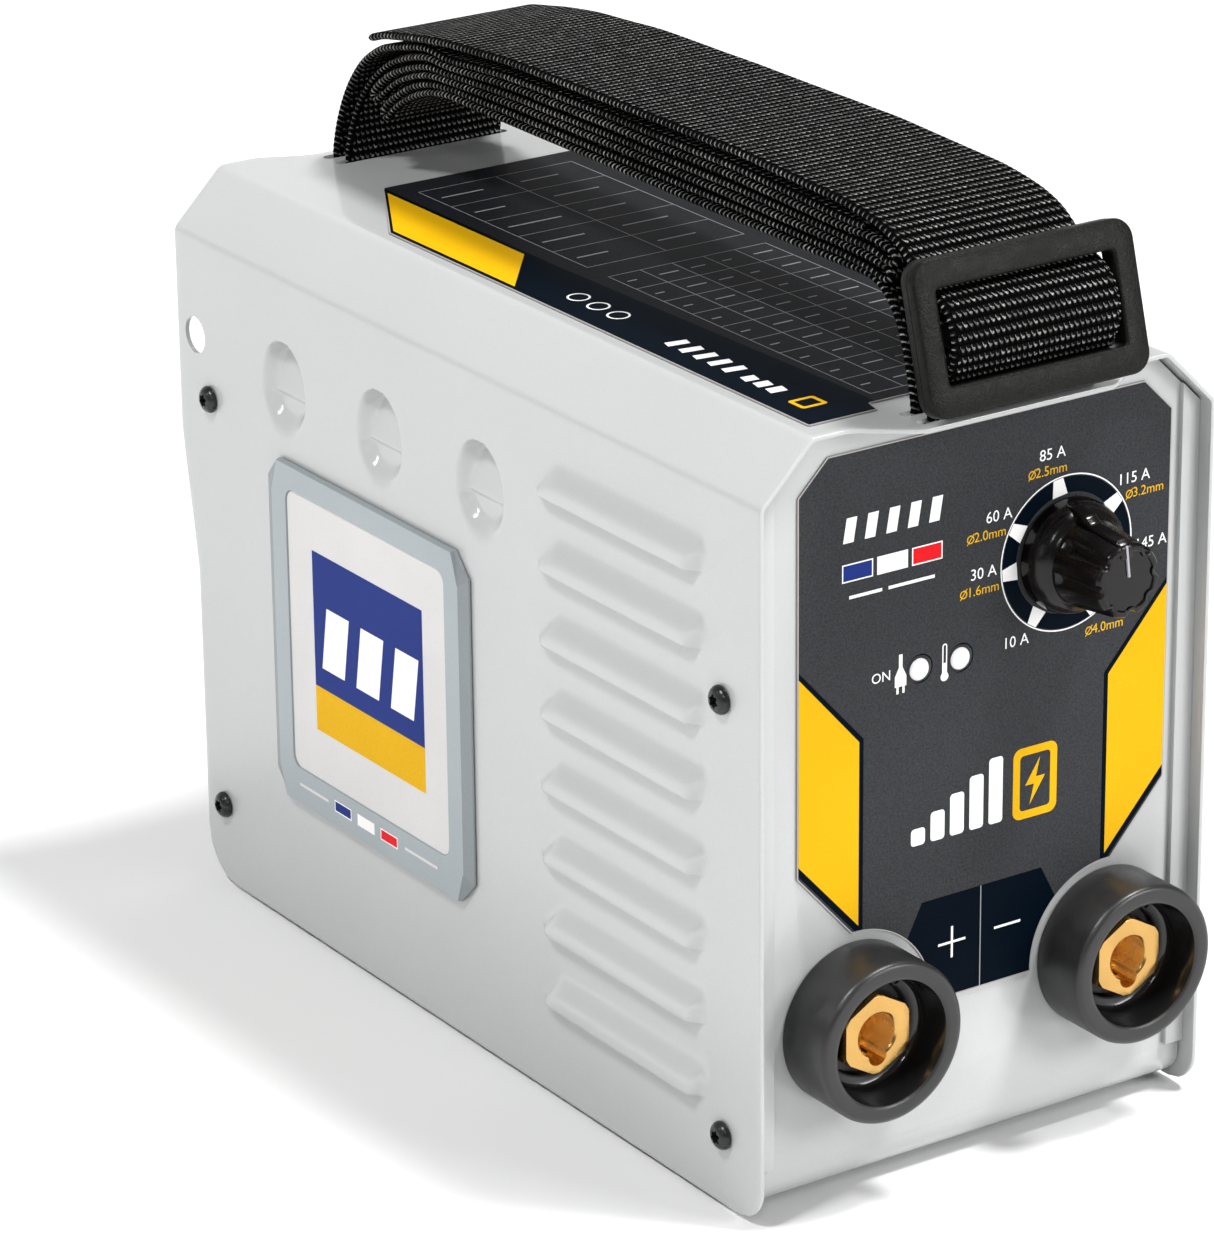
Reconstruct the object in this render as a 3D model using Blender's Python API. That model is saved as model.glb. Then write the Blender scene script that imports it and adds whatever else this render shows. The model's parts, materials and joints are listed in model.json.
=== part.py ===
"""Stick welder: a small inverter power source in a folded sheet-steel case with a webbing carrying strap.

The case stands on the floor, z = 0, with its front towards -Y. X runs across it and Y from front to back.
Shapes are drawn in a case frame whose y = 0 is the front edge of the cover; the root empty moves that
frame so that the origin lies under the middle of the whole object. Sizes are in metres.
"""

import math

import bmesh
import bpy
from mathutils import Matrix, Vector

MM = 0.001
GAP = 0.3 * MM  # clearance between pieces that touch

# Case
WIDTH = 115 * MM
LENGTH = 230 * MM
LOWER_LENGTH = 224.6 * MM  # the side walls are shorter below the rear step
FLOOR_GAP = 1 * MM  # the feet hold the cover this far off the floor
TOP = 170.7 * MM
CHAMFER = 12.5 * MM
SHEET = 1 * MM
BEND = 2.5 * MM
FRONT_CORNER, REAR_CORNER = 8 * MM, 12 * MM
STEP_LOW, STEP_HIGH = 76 * MM, 111 * MM
LIP_DEPTH, LIP_INNER, LIP_OUTER = 9 * MM, 24 * MM, 35.7 * MM
NOTCH_DEPTH = 5.4 * MM

# Chassis: front panel, floor and rear panel folded from one sheet
PANEL_SHEET = 1.2 * MM
PANEL_HALF = 56.1 * MM
PANEL_Y = 4.5 * MM
REAR_Y = 209 * MM
PANEL_TOP = TOP - SHEET - 0.5 * MM
FLOOR_Z = 2.3 * MM
FLOOR_BEND = 6 * MM
FLANGE_X = 56.0 * MM
FRONT_FLANGE = (18 * MM, 10 * MM, 140 * MM)  # far edge, bottom, top
REAR_FLANGE = (221 * MM, 8 * MM, 127 * MM)

# Cover screws: y and z on each side wall
SCREW_PLACES = ((13.2 * MM, 17.1 * MM), (13.2 * MM, 114.1 * MM), (216 * MM, 20.6 * MM), (216 * MM, 120.8 * MM))
SCREW_R, SCREW_HOLE_R = 1.5 * MM, 1.8 * MM
CORD_HOLE = (222.2 * MM, 134.5 * MM, 4.35 * MM)  # y, z, radius of the hole near the rear edge

# Pressings in the side walls
LOUVRES, LOUVRE_PITCH = 8, 16.6 * MM
LOUVRE_TOP_Z = 139.2 * MM  # lower lip of the highest louvre
LOUVRE_DEPTH = 3 * MM
DENT_PLACES = (102.5 * MM, 142.8 * MM, 183.1 * MM)
DENT_Z, DENT_HALF_Y, DENT_HALF_Z, DENT_DEPTH = 131.5 * MM, 9.1 * MM, 11.5 * MM, 4 * MM

# Strap slots in the top, and the strap
REAR_SLOTS, FRONT_SLOTS = (215.2 * MM, 220.5 * MM), (-4.8 * MM, 0.6 * MM)
SLOT_WIDTH, SLOT_HALF = 2.6 * MM, 23 * MM
STRAP_HALF = 21 * MM
WEBBING = 1.8 * MM

# Front controls
PANEL_CENTRE = 2 * MM  # the label and the sockets sit a little right of the middle
DIAL_X, DIAL_Z = 22.4 * MM, 130.8 * MM
KNOB_HEIGHT = 21 * MM
POINTER_ANGLE = math.radians(-7)  # clockwise from straight up, seen from the front
LAMP_PLACES = {"power_lamp": -14.9 * MM, "thermal_lamp": -4.5 * MM}
LAMP_Z, LAMP_R = 113.8 * MM, 2.5 * MM
SOCKET_SPACING, SOCKET_Z = 65.8 * MM, 39.4 * MM
SOCKET_R, SOCKET_PROUD = 17.6 * MM, 14.1 * MM
LABEL_HALF, LABEL_TOP, LABEL_BOTTOM = 47.5 * MM, 164.1 * MM, 38.4 * MM
LABEL_CLEARANCE_R = 19.8 * MM
LABEL_THICK, LABEL_GAP = 0.3 * MM, 0.1 * MM

# Rear panel
FAN_SIZE, FAN_DEPTH, FAN_Z = 80 * MM, 25 * MM, 64 * MM
FAN_HOLE_PITCH = 71.5 * MM
SWITCH_X, GLAND_X, REAR_ROW_Z = -27 * MM, 28 * MM, 134 * MM
ROCKER_TILT = math.radians(10)

# Buckle
BUCKLE_CENTRE = (-10.5 * MM, 189.5 * MM)
BUCKLE_TILT = math.radians(15.4)
BUCKLE_WIDTH, BUCKLE_HEIGHT, BUCKLE_THICK = 57 * MM, 30 * MM, 4 * MM

# Circuit board and what stands on it
BOARD_Z, BOARD_THICK = 10 * MM, 1.6 * MM
BOARD_HALF, BOARD_FRONT, BOARD_REAR = 50 * MM, 32 * MM, 178 * MM
DECK_Z = BOARD_Z + BOARD_THICK + GAP

FRONT_MOST = PANEL_Y - KNOB_HEIGHT
ORIGIN_Y = (FRONT_MOST + LENGTH) / 2

COLOURS = {  # colour, roughness, metallic
    "powder_coat": ((0.58, 0.60, 0.60), 0.5, 0.0),
    "dark_label": ((0.07, 0.07, 0.08), 0.55, 0.0),
    "badge_grey": ((0.45, 0.48, 0.50), 0.4, 0.0),
    "black_screw": ((0.02, 0.02, 0.02), 0.35, 0.9),
    "smoke_plastic": ((0.03, 0.027, 0.03), 0.25, 0.0),
    "black_plastic": ((0.015, 0.015, 0.016), 0.3, 0.0),
    "lamp": ((0.8, 0.8, 0.8), 0.2, 0.0),
    "brass": ((0.75, 0.45, 0.16), 0.25, 1.0),
    "steel": ((0.6, 0.6, 0.6), 0.3, 1.0),
    "board_green": ((0.02, 0.16, 0.06), 0.5, 0.0),
    "aluminium": ((0.7, 0.7, 0.72), 0.4, 1.0),
    "ferrite": ((0.06, 0.06, 0.065), 0.7, 0.0),
    "copper": ((0.7, 0.3, 0.15), 0.35, 1.0),
    "rubber": ((0.02, 0.02, 0.02), 0.8, 0.0),
    "webbing": ((0.012, 0.012, 0.014), 0.85, 0.0),
}


def material(name):
    """The material of this name, made the first time it is asked for."""
    made = bpy.data.materials.get(name)
    if made:
        return made
    colour, roughness, metallic = COLOURS[name]
    made = bpy.data.materials.new(name)
    made.use_nodes = True
    shader = made.node_tree.nodes["Principled BSDF"]
    shader.inputs["Base Color"].default_value = (*colour, 1)
    shader.inputs["Roughness"].default_value = roughness
    shader.inputs["Metallic"].default_value = metallic
    return made


# Outlines


def arc(centre, radius, start, end, steps):
    """Points of an arc from angle start to angle end, in degrees."""
    turn = [math.radians(start + (end - start) * i / steps) for i in range(steps + 1)]
    return [(centre[0] + radius * math.cos(a), centre[1] + radius * math.sin(a)) for a in turn]


def rectangle(low, high):
    return [(low[0], low[1]), (high[0], low[1]), (high[0], high[1]), (low[0], high[1])]


def fillet(points, radii, steps=3, closed=True):
    """The outline with its corners rounded. radii is one radius, or one for each corner; 0 stays sharp."""
    count = len(points)
    if not isinstance(radii, (list, tuple)):
        radii = [radii] * count
    rounded = []
    for i, (point, radius) in enumerate(zip(points, radii)):
        at_end = not closed and i in (0, count - 1)
        if radius <= 0 or at_end:
            rounded.append(point)
            continue
        corner = Vector(point)
        back = (Vector(points[i - 1]) - corner).normalized()
        ahead = (Vector(points[(i + 1) % count]) - corner).normalized()
        half = back.angle(ahead) / 2
        middle = corner + (back + ahead).normalized() * radius / math.sin(half)
        start = corner + back * radius / math.tan(half) - middle
        end = corner + ahead * radius / math.tan(half) - middle
        swept = start.angle_signed(end)
        for step in range(steps + 1):
            turned = start.copy()
            turned.rotate(Matrix.Rotation(-swept * step / steps, 2))
            rounded.append(tuple(middle + turned))
    return rounded


def offset(points, distance):
    """The open polyline moved sideways, to the right of its direction."""
    moved = []
    for i, point in enumerate(points):
        before = Vector(point) - Vector(points[i - 1]) if i else None
        after = Vector(points[i + 1]) - Vector(point) if i < len(points) - 1 else None
        first = (before or after).normalized()
        second = (after or before).normalized()
        side = Vector((first.y, -first.x)) + Vector((second.y, -second.x))
        side = side.normalized()
        reach = distance / side.dot(Vector((first.y, -first.x)))
        moved.append(tuple(Vector(point) + side * reach))
    return moved


def folded(points, radius, thickness, steps=2):
    """Section of a sheet folded along the points, which run along its outer side with the inside on the right."""
    outer = fillet(points, radius, steps, closed=False)
    inner = fillet(offset(points, thickness), radius - thickness, steps, closed=False)
    return outer + inner[::-1]


def ribbon(points, thickness):
    """Outline of a strip that follows the points as its middle line."""
    return offset(points, -thickness / 2) + offset(points, thickness / 2)[::-1]


# Solids


def on_axis(axis, across, up, along):
    """The 3-D point of an outline's two coordinates and the distance along the axis that it is drawn on."""
    return {"X": (along, across, up), "Y": (across, along, up), "Z": (across, up, along)}[axis]


def closed_up(bm):
    bmesh.ops.recalc_face_normals(bm, faces=bm.faces)
    return bm


def prism(outline, axis, low, high):
    bm = bmesh.new()
    ends = [[bm.verts.new(on_axis(axis, a, b, along)) for a, b in outline] for along in (low, high)]
    for ring in ends:
        bm.faces.new(ring)
    for i in range(len(outline)):
        j = (i + 1) % len(outline)
        bm.faces.new((ends[0][i], ends[0][j], ends[1][j], ends[1][i]))
    return closed_up(bm)


def box(low, high):
    return prism(rectangle(low[:2], high[:2]), "Z", low[2], high[2])


def turned(profile, axis, centre, steps=32):
    """A solid of revolution. The profile is a closed list of radius and distance along the axis."""
    bm = bmesh.new()
    rings = []
    for radius, along in profile:
        if radius == 0:
            rings.append([bm.verts.new(on_axis(axis, *centre, along))] * steps)
            continue
        spots = arc(centre, radius, 0, 360 * (steps - 1) / steps, steps - 1)
        rings.append([bm.verts.new(on_axis(axis, a, b, along)) for a, b in spots])
    for i, ring in enumerate(rings):
        following = rings[(i + 1) % len(rings)]
        for j in range(steps):
            k = (j + 1) % steps
            corners = dict.fromkeys((ring[j], ring[k], following[k], following[j]))
            if len(corners) > 2:
                bm.faces.new(list(corners))
    return closed_up(bm)


def rod(radius, axis, centre, low, high, steps=24):
    return turned([(0, low), (radius, low), (radius, high), (0, high)], axis, centre, steps)


def hull(points):
    bm = bmesh.new()
    for point in points:
        bm.verts.new(point)
    found = bmesh.ops.convex_hull(bm, input=bm.verts)
    inside = [v for v in found["geom_interior"] if isinstance(v, bmesh.types.BMVert)]
    bmesh.ops.delete(bm, geom=inside, context="VERTS")
    return closed_up(bm)


def together(*shapes):
    """Shapes that don't touch, in one mesh."""
    mesh = bpy.data.meshes.new("shapes")
    whole = bmesh.new()
    for shape in shapes:
        shape.to_mesh(mesh)
        whole.from_mesh(mesh)
        shape.free()
    bpy.data.meshes.remove(mesh)
    return whole


def mirrored(bm):
    """The shape and its copy on the other side of x = 0."""
    copy = bm.copy()
    bmesh.ops.scale(copy, vec=(-1, 1, 1), verts=copy.verts)
    return together(bm, closed_up(copy))


def hexagon(across_flats, centre):
    radius = across_flats / math.sqrt(3)
    return arc(centre, radius, 30, 330, 5)


def put(name, bm, material_name, pivot=(0, 0, 0), turn=(0, 0, 0), smooth=35):
    """A named piece from a mesh drawn in the case frame. Its origin is the pivot; turn is applied about it."""
    if any(pivot):
        bmesh.ops.translate(bm, vec=-Vector(pivot), verts=bm.verts)
    mesh = bpy.data.meshes.new(name)
    bm.to_mesh(mesh)
    bm.free()
    mesh.shade_smooth()
    mesh.set_sharp_from_angle(angle=math.radians(smooth))
    mesh.materials.append(material(material_name))
    piece = bpy.data.objects.new(name, mesh)
    piece.location = pivot
    piece.rotation_euler = turn
    piece.parent = bpy.data.objects["welder"]
    bpy.context.scene.collection.objects.link(piece)
    return piece


def combine(piece, operation, bm, in_case_frame=True):
    """Adds a Boolean with a hidden helper shape, drawn in the case frame or in the piece's own."""
    number = sum(modifier.type == "BOOLEAN" for modifier in piece.modifiers)
    name = f"{piece.name}_{operation.lower()}_{number}"
    mesh = bpy.data.meshes.new(name)
    bm.to_mesh(mesh)
    bm.free()
    helper = bpy.data.objects.new(name, mesh)
    helper.parent = bpy.data.objects["welder"]
    if not in_case_frame:
        helper.location = piece.location
        helper.rotation_euler = piece.rotation_euler
    helper.display_type = "WIRE"
    helper.hide_render = True
    bpy.context.scene.collection.objects.link(helper)
    modifier = piece.modifiers.new(operation.title(), "BOOLEAN")
    modifier.operation = operation
    modifier.solver = "EXACT"
    modifier.object = helper


# Case


def louvre_hood(lip_z, inset=0.0):
    """One pressed louvre on the left wall, open along its lower edge. inset gives the hollow behind it."""
    wall = -WIDTH / 2
    rear, front, height = 80 * MM - inset, 18.8 * MM + inset, 8.2 * MM - inset
    foot = 0.2 * MM + inset
    base = [(rear, foot), (rear - 3 * MM, 5 * MM - inset), (rear - 11 * MM, height)]
    base += [(front + 3.2 * MM, height), (front, height - 3 * MM), (front + 1.5 * MM, foot)]
    lip_rear, lip_front = rear - 4 * MM, front + 3.2 * MM
    lip = [(lip_rear, 0), (lip_rear - 6 * MM, 3.4 * MM - inset)]
    lip += [(lip_front + 2.5 * MM, 3.4 * MM - inset), (lip_front, 0)]
    if inset:
        lip = [(y, z - 1 * MM if z == 0 else z) for y, z in lip]
    wall_x = wall + SHEET / 2 if inset == 0 else wall + SHEET + 0.6 * MM
    points = [(wall_x, y, lip_z + z) for y, z in base]
    points += [(wall - LOUVRE_DEPTH + inset, y, lip_z + z) for y, z in lip]
    if inset:
        points += [(wall - 0.4 * MM, y, lip_z - 1 * MM) for y in (lip_rear, lip_front)]
    return hull(points)


def dent(centre_y, extra=0.0):
    """An oval pressed into the left wall. extra makes the shape of its inner side."""
    rim, depth = 1 + extra / DENT_HALF_Y, DENT_DEPTH + extra
    rings = [(rim * math.cos(math.radians(a)), depth * math.sin(math.radians(a))) for a in (0, 28, 58)]
    outside = -0.6 * MM if not extra else 0.2 * MM
    profile = [(0, outside), (rim, outside)] + rings[1:] + [(0, depth)]
    bm = turned([(r * DENT_HALF_Y, -WIDTH / 2 + x) for r, x in profile], "X", (0, 0), 14)
    bmesh.ops.scale(bm, vec=(1, 1, DENT_HALF_Z / DENT_HALF_Y), verts=bm.verts)
    bmesh.ops.translate(bm, vec=(0, centre_y, DENT_Z), verts=bm.verts)
    return bm


def slot(centre_y):
    ends = (centre_y - SLOT_WIDTH / 2, centre_y + SLOT_WIDTH / 2)
    return box((-SLOT_HALF, ends[0], TOP - 3 * MM), (SLOT_HALF, ends[1], TOP + 3 * MM))


def make_cover():
    half, shoulder = WIDTH / 2, TOP - CHAMFER
    section = [(-half, FLOOR_GAP), (-half, shoulder), (CHAMFER - half, TOP)]
    section += [(half - CHAMFER, TOP), (half, shoulder), (half, FLOOR_GAP)]
    cover = put("cover", prism(folded(section, BEND, SHEET), "Y", -2 * MM, LENGTH + 2 * MM), "powder_coat")

    above = TOP + 5 * MM
    side = [(0, FLOOR_GAP), (LOWER_LENGTH, FLOOR_GAP), (LOWER_LENGTH, STEP_LOW), (LENGTH, STEP_HIGH)]
    side += [(LENGTH, above), (0, above)]
    corners = [FRONT_CORNER, REAR_CORNER, 4 * MM, 4 * MM, 0, 0]
    combine(cover, "INTERSECT", prism(fillet(side, corners, 4), "X", -80 * MM, 80 * MM))

    lip = [(LIP_OUTER + 1.2 * MM, 1 * MM), (LIP_INNER, -LIP_DEPTH), (-LIP_INNER, -LIP_DEPTH)]
    lip += [(-LIP_OUTER - 1.2 * MM, 1 * MM)]
    combine(cover, "UNION", prism(lip, "Z", TOP - SHEET, TOP))

    louvre_lips = [LOUVRE_TOP_Z - LOUVRE_PITCH * i for i in range(LOUVRES)]
    bulges = [louvre_hood(z) for z in louvre_lips] + [dent(y, SHEET) for y in DENT_PLACES]
    combine(cover, "UNION", mirrored(together(*bulges)))

    hollows = [louvre_hood(z, 0.9 * MM) for z in louvre_lips] + [dent(y) for y in DENT_PLACES]
    combine(cover, "DIFFERENCE", mirrored(together(*hollows)))

    notch = [(-LIP_OUTER, LENGTH + 1 * MM), (-LIP_INNER, LENGTH - NOTCH_DEPTH)]
    notch += [(LIP_INNER, LENGTH - NOTCH_DEPTH), (LIP_OUTER, LENGTH + 1 * MM)]
    holes = [prism(notch, "Z", TOP - 3 * MM, TOP + 3 * MM)]
    holes += [slot(y) for y in REAR_SLOTS + FRONT_SLOTS]
    for side_x in (-1, 1):
        ends = sorted((side_x * (half - 3 * MM), side_x * (half + 3 * MM)))
        holes += [rod(SCREW_HOLE_R, "X", place, *ends, 10) for place in SCREW_PLACES]
        holes.append(rod(CORD_HOLE[2], "X", CORD_HOLE[:2], *ends, 20))
    combine(cover, "DIFFERENCE", together(*holes))


def make_chassis():
    fold = [(PANEL_Y, PANEL_TOP), (PANEL_Y, FLOOR_Z), (REAR_Y, FLOOR_Z), (REAR_Y, PANEL_TOP)]
    section = folded(fold[::-1], FLOOR_BEND, PANEL_SHEET, 4)
    chassis = put("chassis", prism(section, "X", -PANEL_HALF, PANEL_HALF), "powder_coat")

    shoulder = PANEL_TOP - CHAMFER + 0.8 * MM
    peak = PANEL_HALF - (PANEL_TOP - shoulder)
    trim = [(-PANEL_HALF - 5 * MM, -5 * MM), (PANEL_HALF + 5 * MM, -5 * MM)]
    trim += [(PANEL_HALF + 5 * MM, shoulder - 5 * MM), (peak - 5 * MM, PANEL_TOP + 5 * MM)]
    trim += [(5 * MM - peak, PANEL_TOP + 5 * MM), (-PANEL_HALF - 5 * MM, shoulder - 5 * MM)]
    combine(chassis, "INTERSECT", prism(trim, "Y", -20 * MM, LENGTH + 20 * MM))

    flanges = []
    for start, (end, bottom, top) in (
        (PANEL_Y + PANEL_SHEET / 2, FRONT_FLANGE),
        (REAR_Y - PANEL_SHEET / 2, REAR_FLANGE),
    ):
        inner_x = FLANGE_X - PANEL_SHEET
        flanges.append(box((inner_x, start, bottom), (FLANGE_X, end, top)))
    combine(chassis, "UNION", mirrored(together(*flanges)))

    front, rear = (PANEL_Y - 5 * MM, PANEL_Y + 5 * MM), (REAR_Y - 5 * MM, REAR_Y + 5 * MM)
    holes = [rod(12.3 * MM, "Y", (x, SOCKET_Z), *front, 24) for x in socket_places().values()]
    holes.append(rod(3.8 * MM, "Y", (DIAL_X, DIAL_Z), *front, 14))
    holes += [rod(LAMP_R + GAP, "Y", (x, LAMP_Z), *front, 12) for x in LAMP_PLACES.values()]
    holes.append(rod(37.5 * MM, "Y", (0, FAN_Z), *rear, 32))
    holes += [rod(2.3 * MM, "Y", place, *rear, 10) for place in fan_corners()]
    holes.append(rod(8.3 * MM, "Y", (GLAND_X, REAR_ROW_Z), *rear, 20))
    low = (SWITCH_X - 9.5 * MM, rear[0], REAR_ROW_Z - 14 * MM)
    high = (SWITCH_X + 9.5 * MM, rear[1], REAR_ROW_Z + 14 * MM)
    holes.append(box(low, high))
    holes += [rod(2.5 * MM, "Z", place, 0, 6 * MM, 10) for place in foot_places()]
    for side_x in (-1, 1):
        ends = sorted((side_x * (FLANGE_X - 4 * MM), side_x * (FLANGE_X + 2 * MM)))
        holes += [rod(SCREW_HOLE_R, "X", place, *ends, 10) for place in SCREW_PLACES]
    combine(chassis, "DIFFERENCE", together(*holes))


def make_cover_screws():
    """Black pan-head screws, four on each side."""
    under, head = GAP, 2.3 * MM
    profile = [(0, -7 * MM), (SCREW_R, -7 * MM), (SCREW_R, under), (3.1 * MM, under)]
    profile += [(3.1 * MM, 0.9 * MM), (2.5 * MM, 1.8 * MM), (1.3 * MM, head), (1.1 * MM, head)]
    profile += [(0.9 * MM, 1.1 * MM), (0, 1.1 * MM)]
    number = 0
    for side_x in (-1, 1):
        for place in SCREW_PLACES:
            number += 1
            along = [(r, side_x * (WIDTH / 2 + x)) for r, x in profile]
            bm = turned(along, "X", place, 12)
            put(f"cover_screw_{number}", bm, "black_screw", (side_x * WIDTH / 2, *place))


def foot_places():
    return [(x, y) for y in (24 * MM, 192 * MM) for x in (-42 * MM, 42 * MM)]


def make_feet():
    """Rubber feet, each pushed through the floor of the chassis with a barbed stem."""
    under = FLOOR_Z - GAP
    above = FLOOR_Z + PANEL_SHEET + GAP
    profile = [(0, 0), (6.2 * MM, 0), (7 * MM, 0.6 * MM), (7 * MM, under), (2.2 * MM, under)]
    profile += [(2.2 * MM, above), (3 * MM, above), (1.6 * MM, above + 2 * MM), (0, above + 2 * MM)]
    for number, place in enumerate(foot_places(), 1):
        put(f"foot_{number}", turned(profile, "Z", place, 14), "rubber", (*place, 0))


# Labels


def make_front_label():
    back = PANEL_Y - LABEL_GAP
    front = back - LABEL_THICK
    half = [(40.2 * MM, LABEL_TOP), (LABEL_HALF, LABEL_TOP - 7.3 * MM), (LABEL_HALF, 74.6 * MM)]
    half += [(33 * MM, 58.4 * MM), (33 * MM, LABEL_BOTTOM)]
    outline = [(PANEL_CENTRE + x, z) for x, z in half]
    outline += [(PANEL_CENTRE - x, z) for x, z in half[::-1]]
    label = put("front_label", prism(outline, "Y", front, back), "dark_label")
    ends = (front - 2 * MM, back + 2 * MM)
    holes = [rod(LABEL_CLEARANCE_R, "Y", (x, SOCKET_Z), *ends, 48) for x in socket_places().values()]
    holes.append(rod(3.8 * MM, "Y", (DIAL_X, DIAL_Z), *ends, 16))
    holes += [rod(LAMP_R + GAP, "Y", (x, LAMP_Z), *ends, 16) for x in LAMP_PLACES.values()]
    combine(label, "DIFFERENCE", together(*holes))


def make_top_label():
    half = [(15 * MM, 9.6 * MM), (24 * MM, 9.6 * MM), (25 * MM, 5.6 * MM), (41.8 * MM, 5.6 * MM)]
    half += [(41.8 * MM, 162 * MM), (25 * MM, 191.6 * MM)]
    outline = [(-x, y) for x, y in half] + half[::-1]
    low = TOP + LABEL_GAP
    put("top_label", prism(outline, "Z", low, low + LABEL_THICK), "dark_label")


def make_side_badge():
    """A bevelled grey frame round a plain plate, on the left wall."""
    centre_y, centre_z, half_y, half_z, corner = 149 * MM, 75 * MM, 42.6 * MM, 41 * MM, 5.4 * MM

    def octagon(inset):
        y, z = half_y - inset, half_z - inset
        c = corner - 0.4 * inset
        quarter = [(y, z - c), (y - c, z)]
        corners = quarter + [(-a, b) for a, b in quarter[::-1]]
        corners += [(-a, -b) for a, b in quarter] + [(a, -b) for a, b in quarter[::-1]]
        return [(centre_y + a, centre_z + b) for a, b in corners]

    wall = -WIDTH / 2 - GAP
    rings = [(wall, octagon(0)), (wall - 0.8 * MM, octagon(0)), (wall - 1.6 * MM, octagon(2 * MM))]
    points = [(x, y, z) for x, ring in rings for y, z in ring]
    badge = put("side_badge", hull(points), "badge_grey")
    field = rectangle((centre_y - 33 * MM, centre_z - 32 * MM), (centre_y + 33 * MM, centre_z + 34 * MM))
    recess = prism(fillet(field, 2 * MM, 2), "X", wall - 3 * MM, wall - 1.1 * MM)
    combine(badge, "DIFFERENCE", recess)


# Front controls


def make_knob():
    """Fluted knob with a wing pointer, pushed onto the potentiometer's shaft."""
    foot, face = PANEL_Y - LABEL_GAP - LABEL_THICK - GAP, PANEL_Y - KNOB_HEIGHT
    pivot = (DIAL_X, face, DIAL_Z)
    profile = [(7.6 * MM, foot), (12.3 * MM, foot), (12.1 * MM, foot - 3 * MM), (10.9 * MM, foot - 6 * MM)]
    profile += [(9.3 * MM, foot - 7 * MM), (8.3 * MM, face + 1.2 * MM), (6.6 * MM, face), (0, face)]
    profile += [(0, -12 * MM), (3.05 * MM, -12 * MM), (3.05 * MM, -1.2 * MM), (7.6 * MM, -1.2 * MM)]
    turn = (0, POINTER_ANGLE, 0)
    knob = put("knob", turned(profile, "Y", (DIAL_X, DIAL_Z), 32), "smoke_plastic", pivot, turn)

    wing = [(foot - 2.5 * MM, 12.2 * MM), (foot - 7 * MM, 11.4 * MM), (face + 1 * MM, 9.3 * MM)]
    wing += [(face, 8 * MM), (face, 4 * MM), (foot - 2.5 * MM, 8.5 * MM)]
    shape = prism([(y - face, z) for y, z in wing], "X", -1.3 * MM, 1.3 * MM)
    combine(knob, "UNION", shape, in_case_frame=False)

    grooves = []
    for number in range(9):
        angle = math.radians(36 * (number + 1))
        spot = (10.2 * MM * math.sin(angle), 10.2 * MM * math.cos(angle))
        grooves.append(rod(2.1 * MM, "Y", spot, -1 * MM, foot - face - 8 * MM, 8))
    combine(knob, "DIFFERENCE", together(*grooves), in_case_frame=False)


def make_potentiometer():
    centre = (DIAL_X, DIAL_Z)
    inner = PANEL_Y + PANEL_SHEET + GAP
    body = [(3.05 * MM, -0.6 * MM), (3.5 * MM, -0.6 * MM), (3.5 * MM, inner), (8 * MM, inner)]
    body += [(8 * MM, 14 * MM), (0, 14 * MM), (0, 12.4 * MM), (3.05 * MM, 12.4 * MM)]
    put("pot_body", turned(body, "Y", centre, 16), "steel", (DIAL_X, inner, DIAL_Z))
    put("pot_shaft", rod(2.75 * MM, "Y", centre, -11.6 * MM, 12 * MM, 16), "steel", (DIAL_X, 0, DIAL_Z))
    front = PANEL_Y - LABEL_GAP - LABEL_THICK - GAP
    nut = put("pot_nut", prism(hexagon(10 * MM, centre), "Y", front - 2 * MM, front), "steel")
    combine(nut, "DIFFERENCE", rod(3.8 * MM, "Y", centre, front - 5 * MM, front + 5 * MM, 14))


def make_lamps():
    """Round signal lamps, domed at the front and flanged behind the panel."""
    inner = PANEL_Y + PANEL_SHEET + GAP
    dome = [(LAMP_R * math.cos(math.radians(a)), math.sin(math.radians(a))) for a in (0, 30, 60)]
    profile = [(0, 15.6 * MM), (3 * MM, 15.6 * MM), (3 * MM, inner), (LAMP_R, inner)]
    profile += [(r, 3.8 * MM - 1.7 * MM * h) for r, h in dome] + [(0, 2.1 * MM)]
    for name, x in LAMP_PLACES.items():
        put(name, turned(profile, "Y", (x, LAMP_Z), 14), "lamp", (x, inner, LAMP_Z))


def socket_places():
    half = SOCKET_SPACING / 2
    return {"positive": PANEL_CENTRE - 0.2 * MM - half, "negative": PANEL_CENTRE - 0.2 * MM + half}


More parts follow.
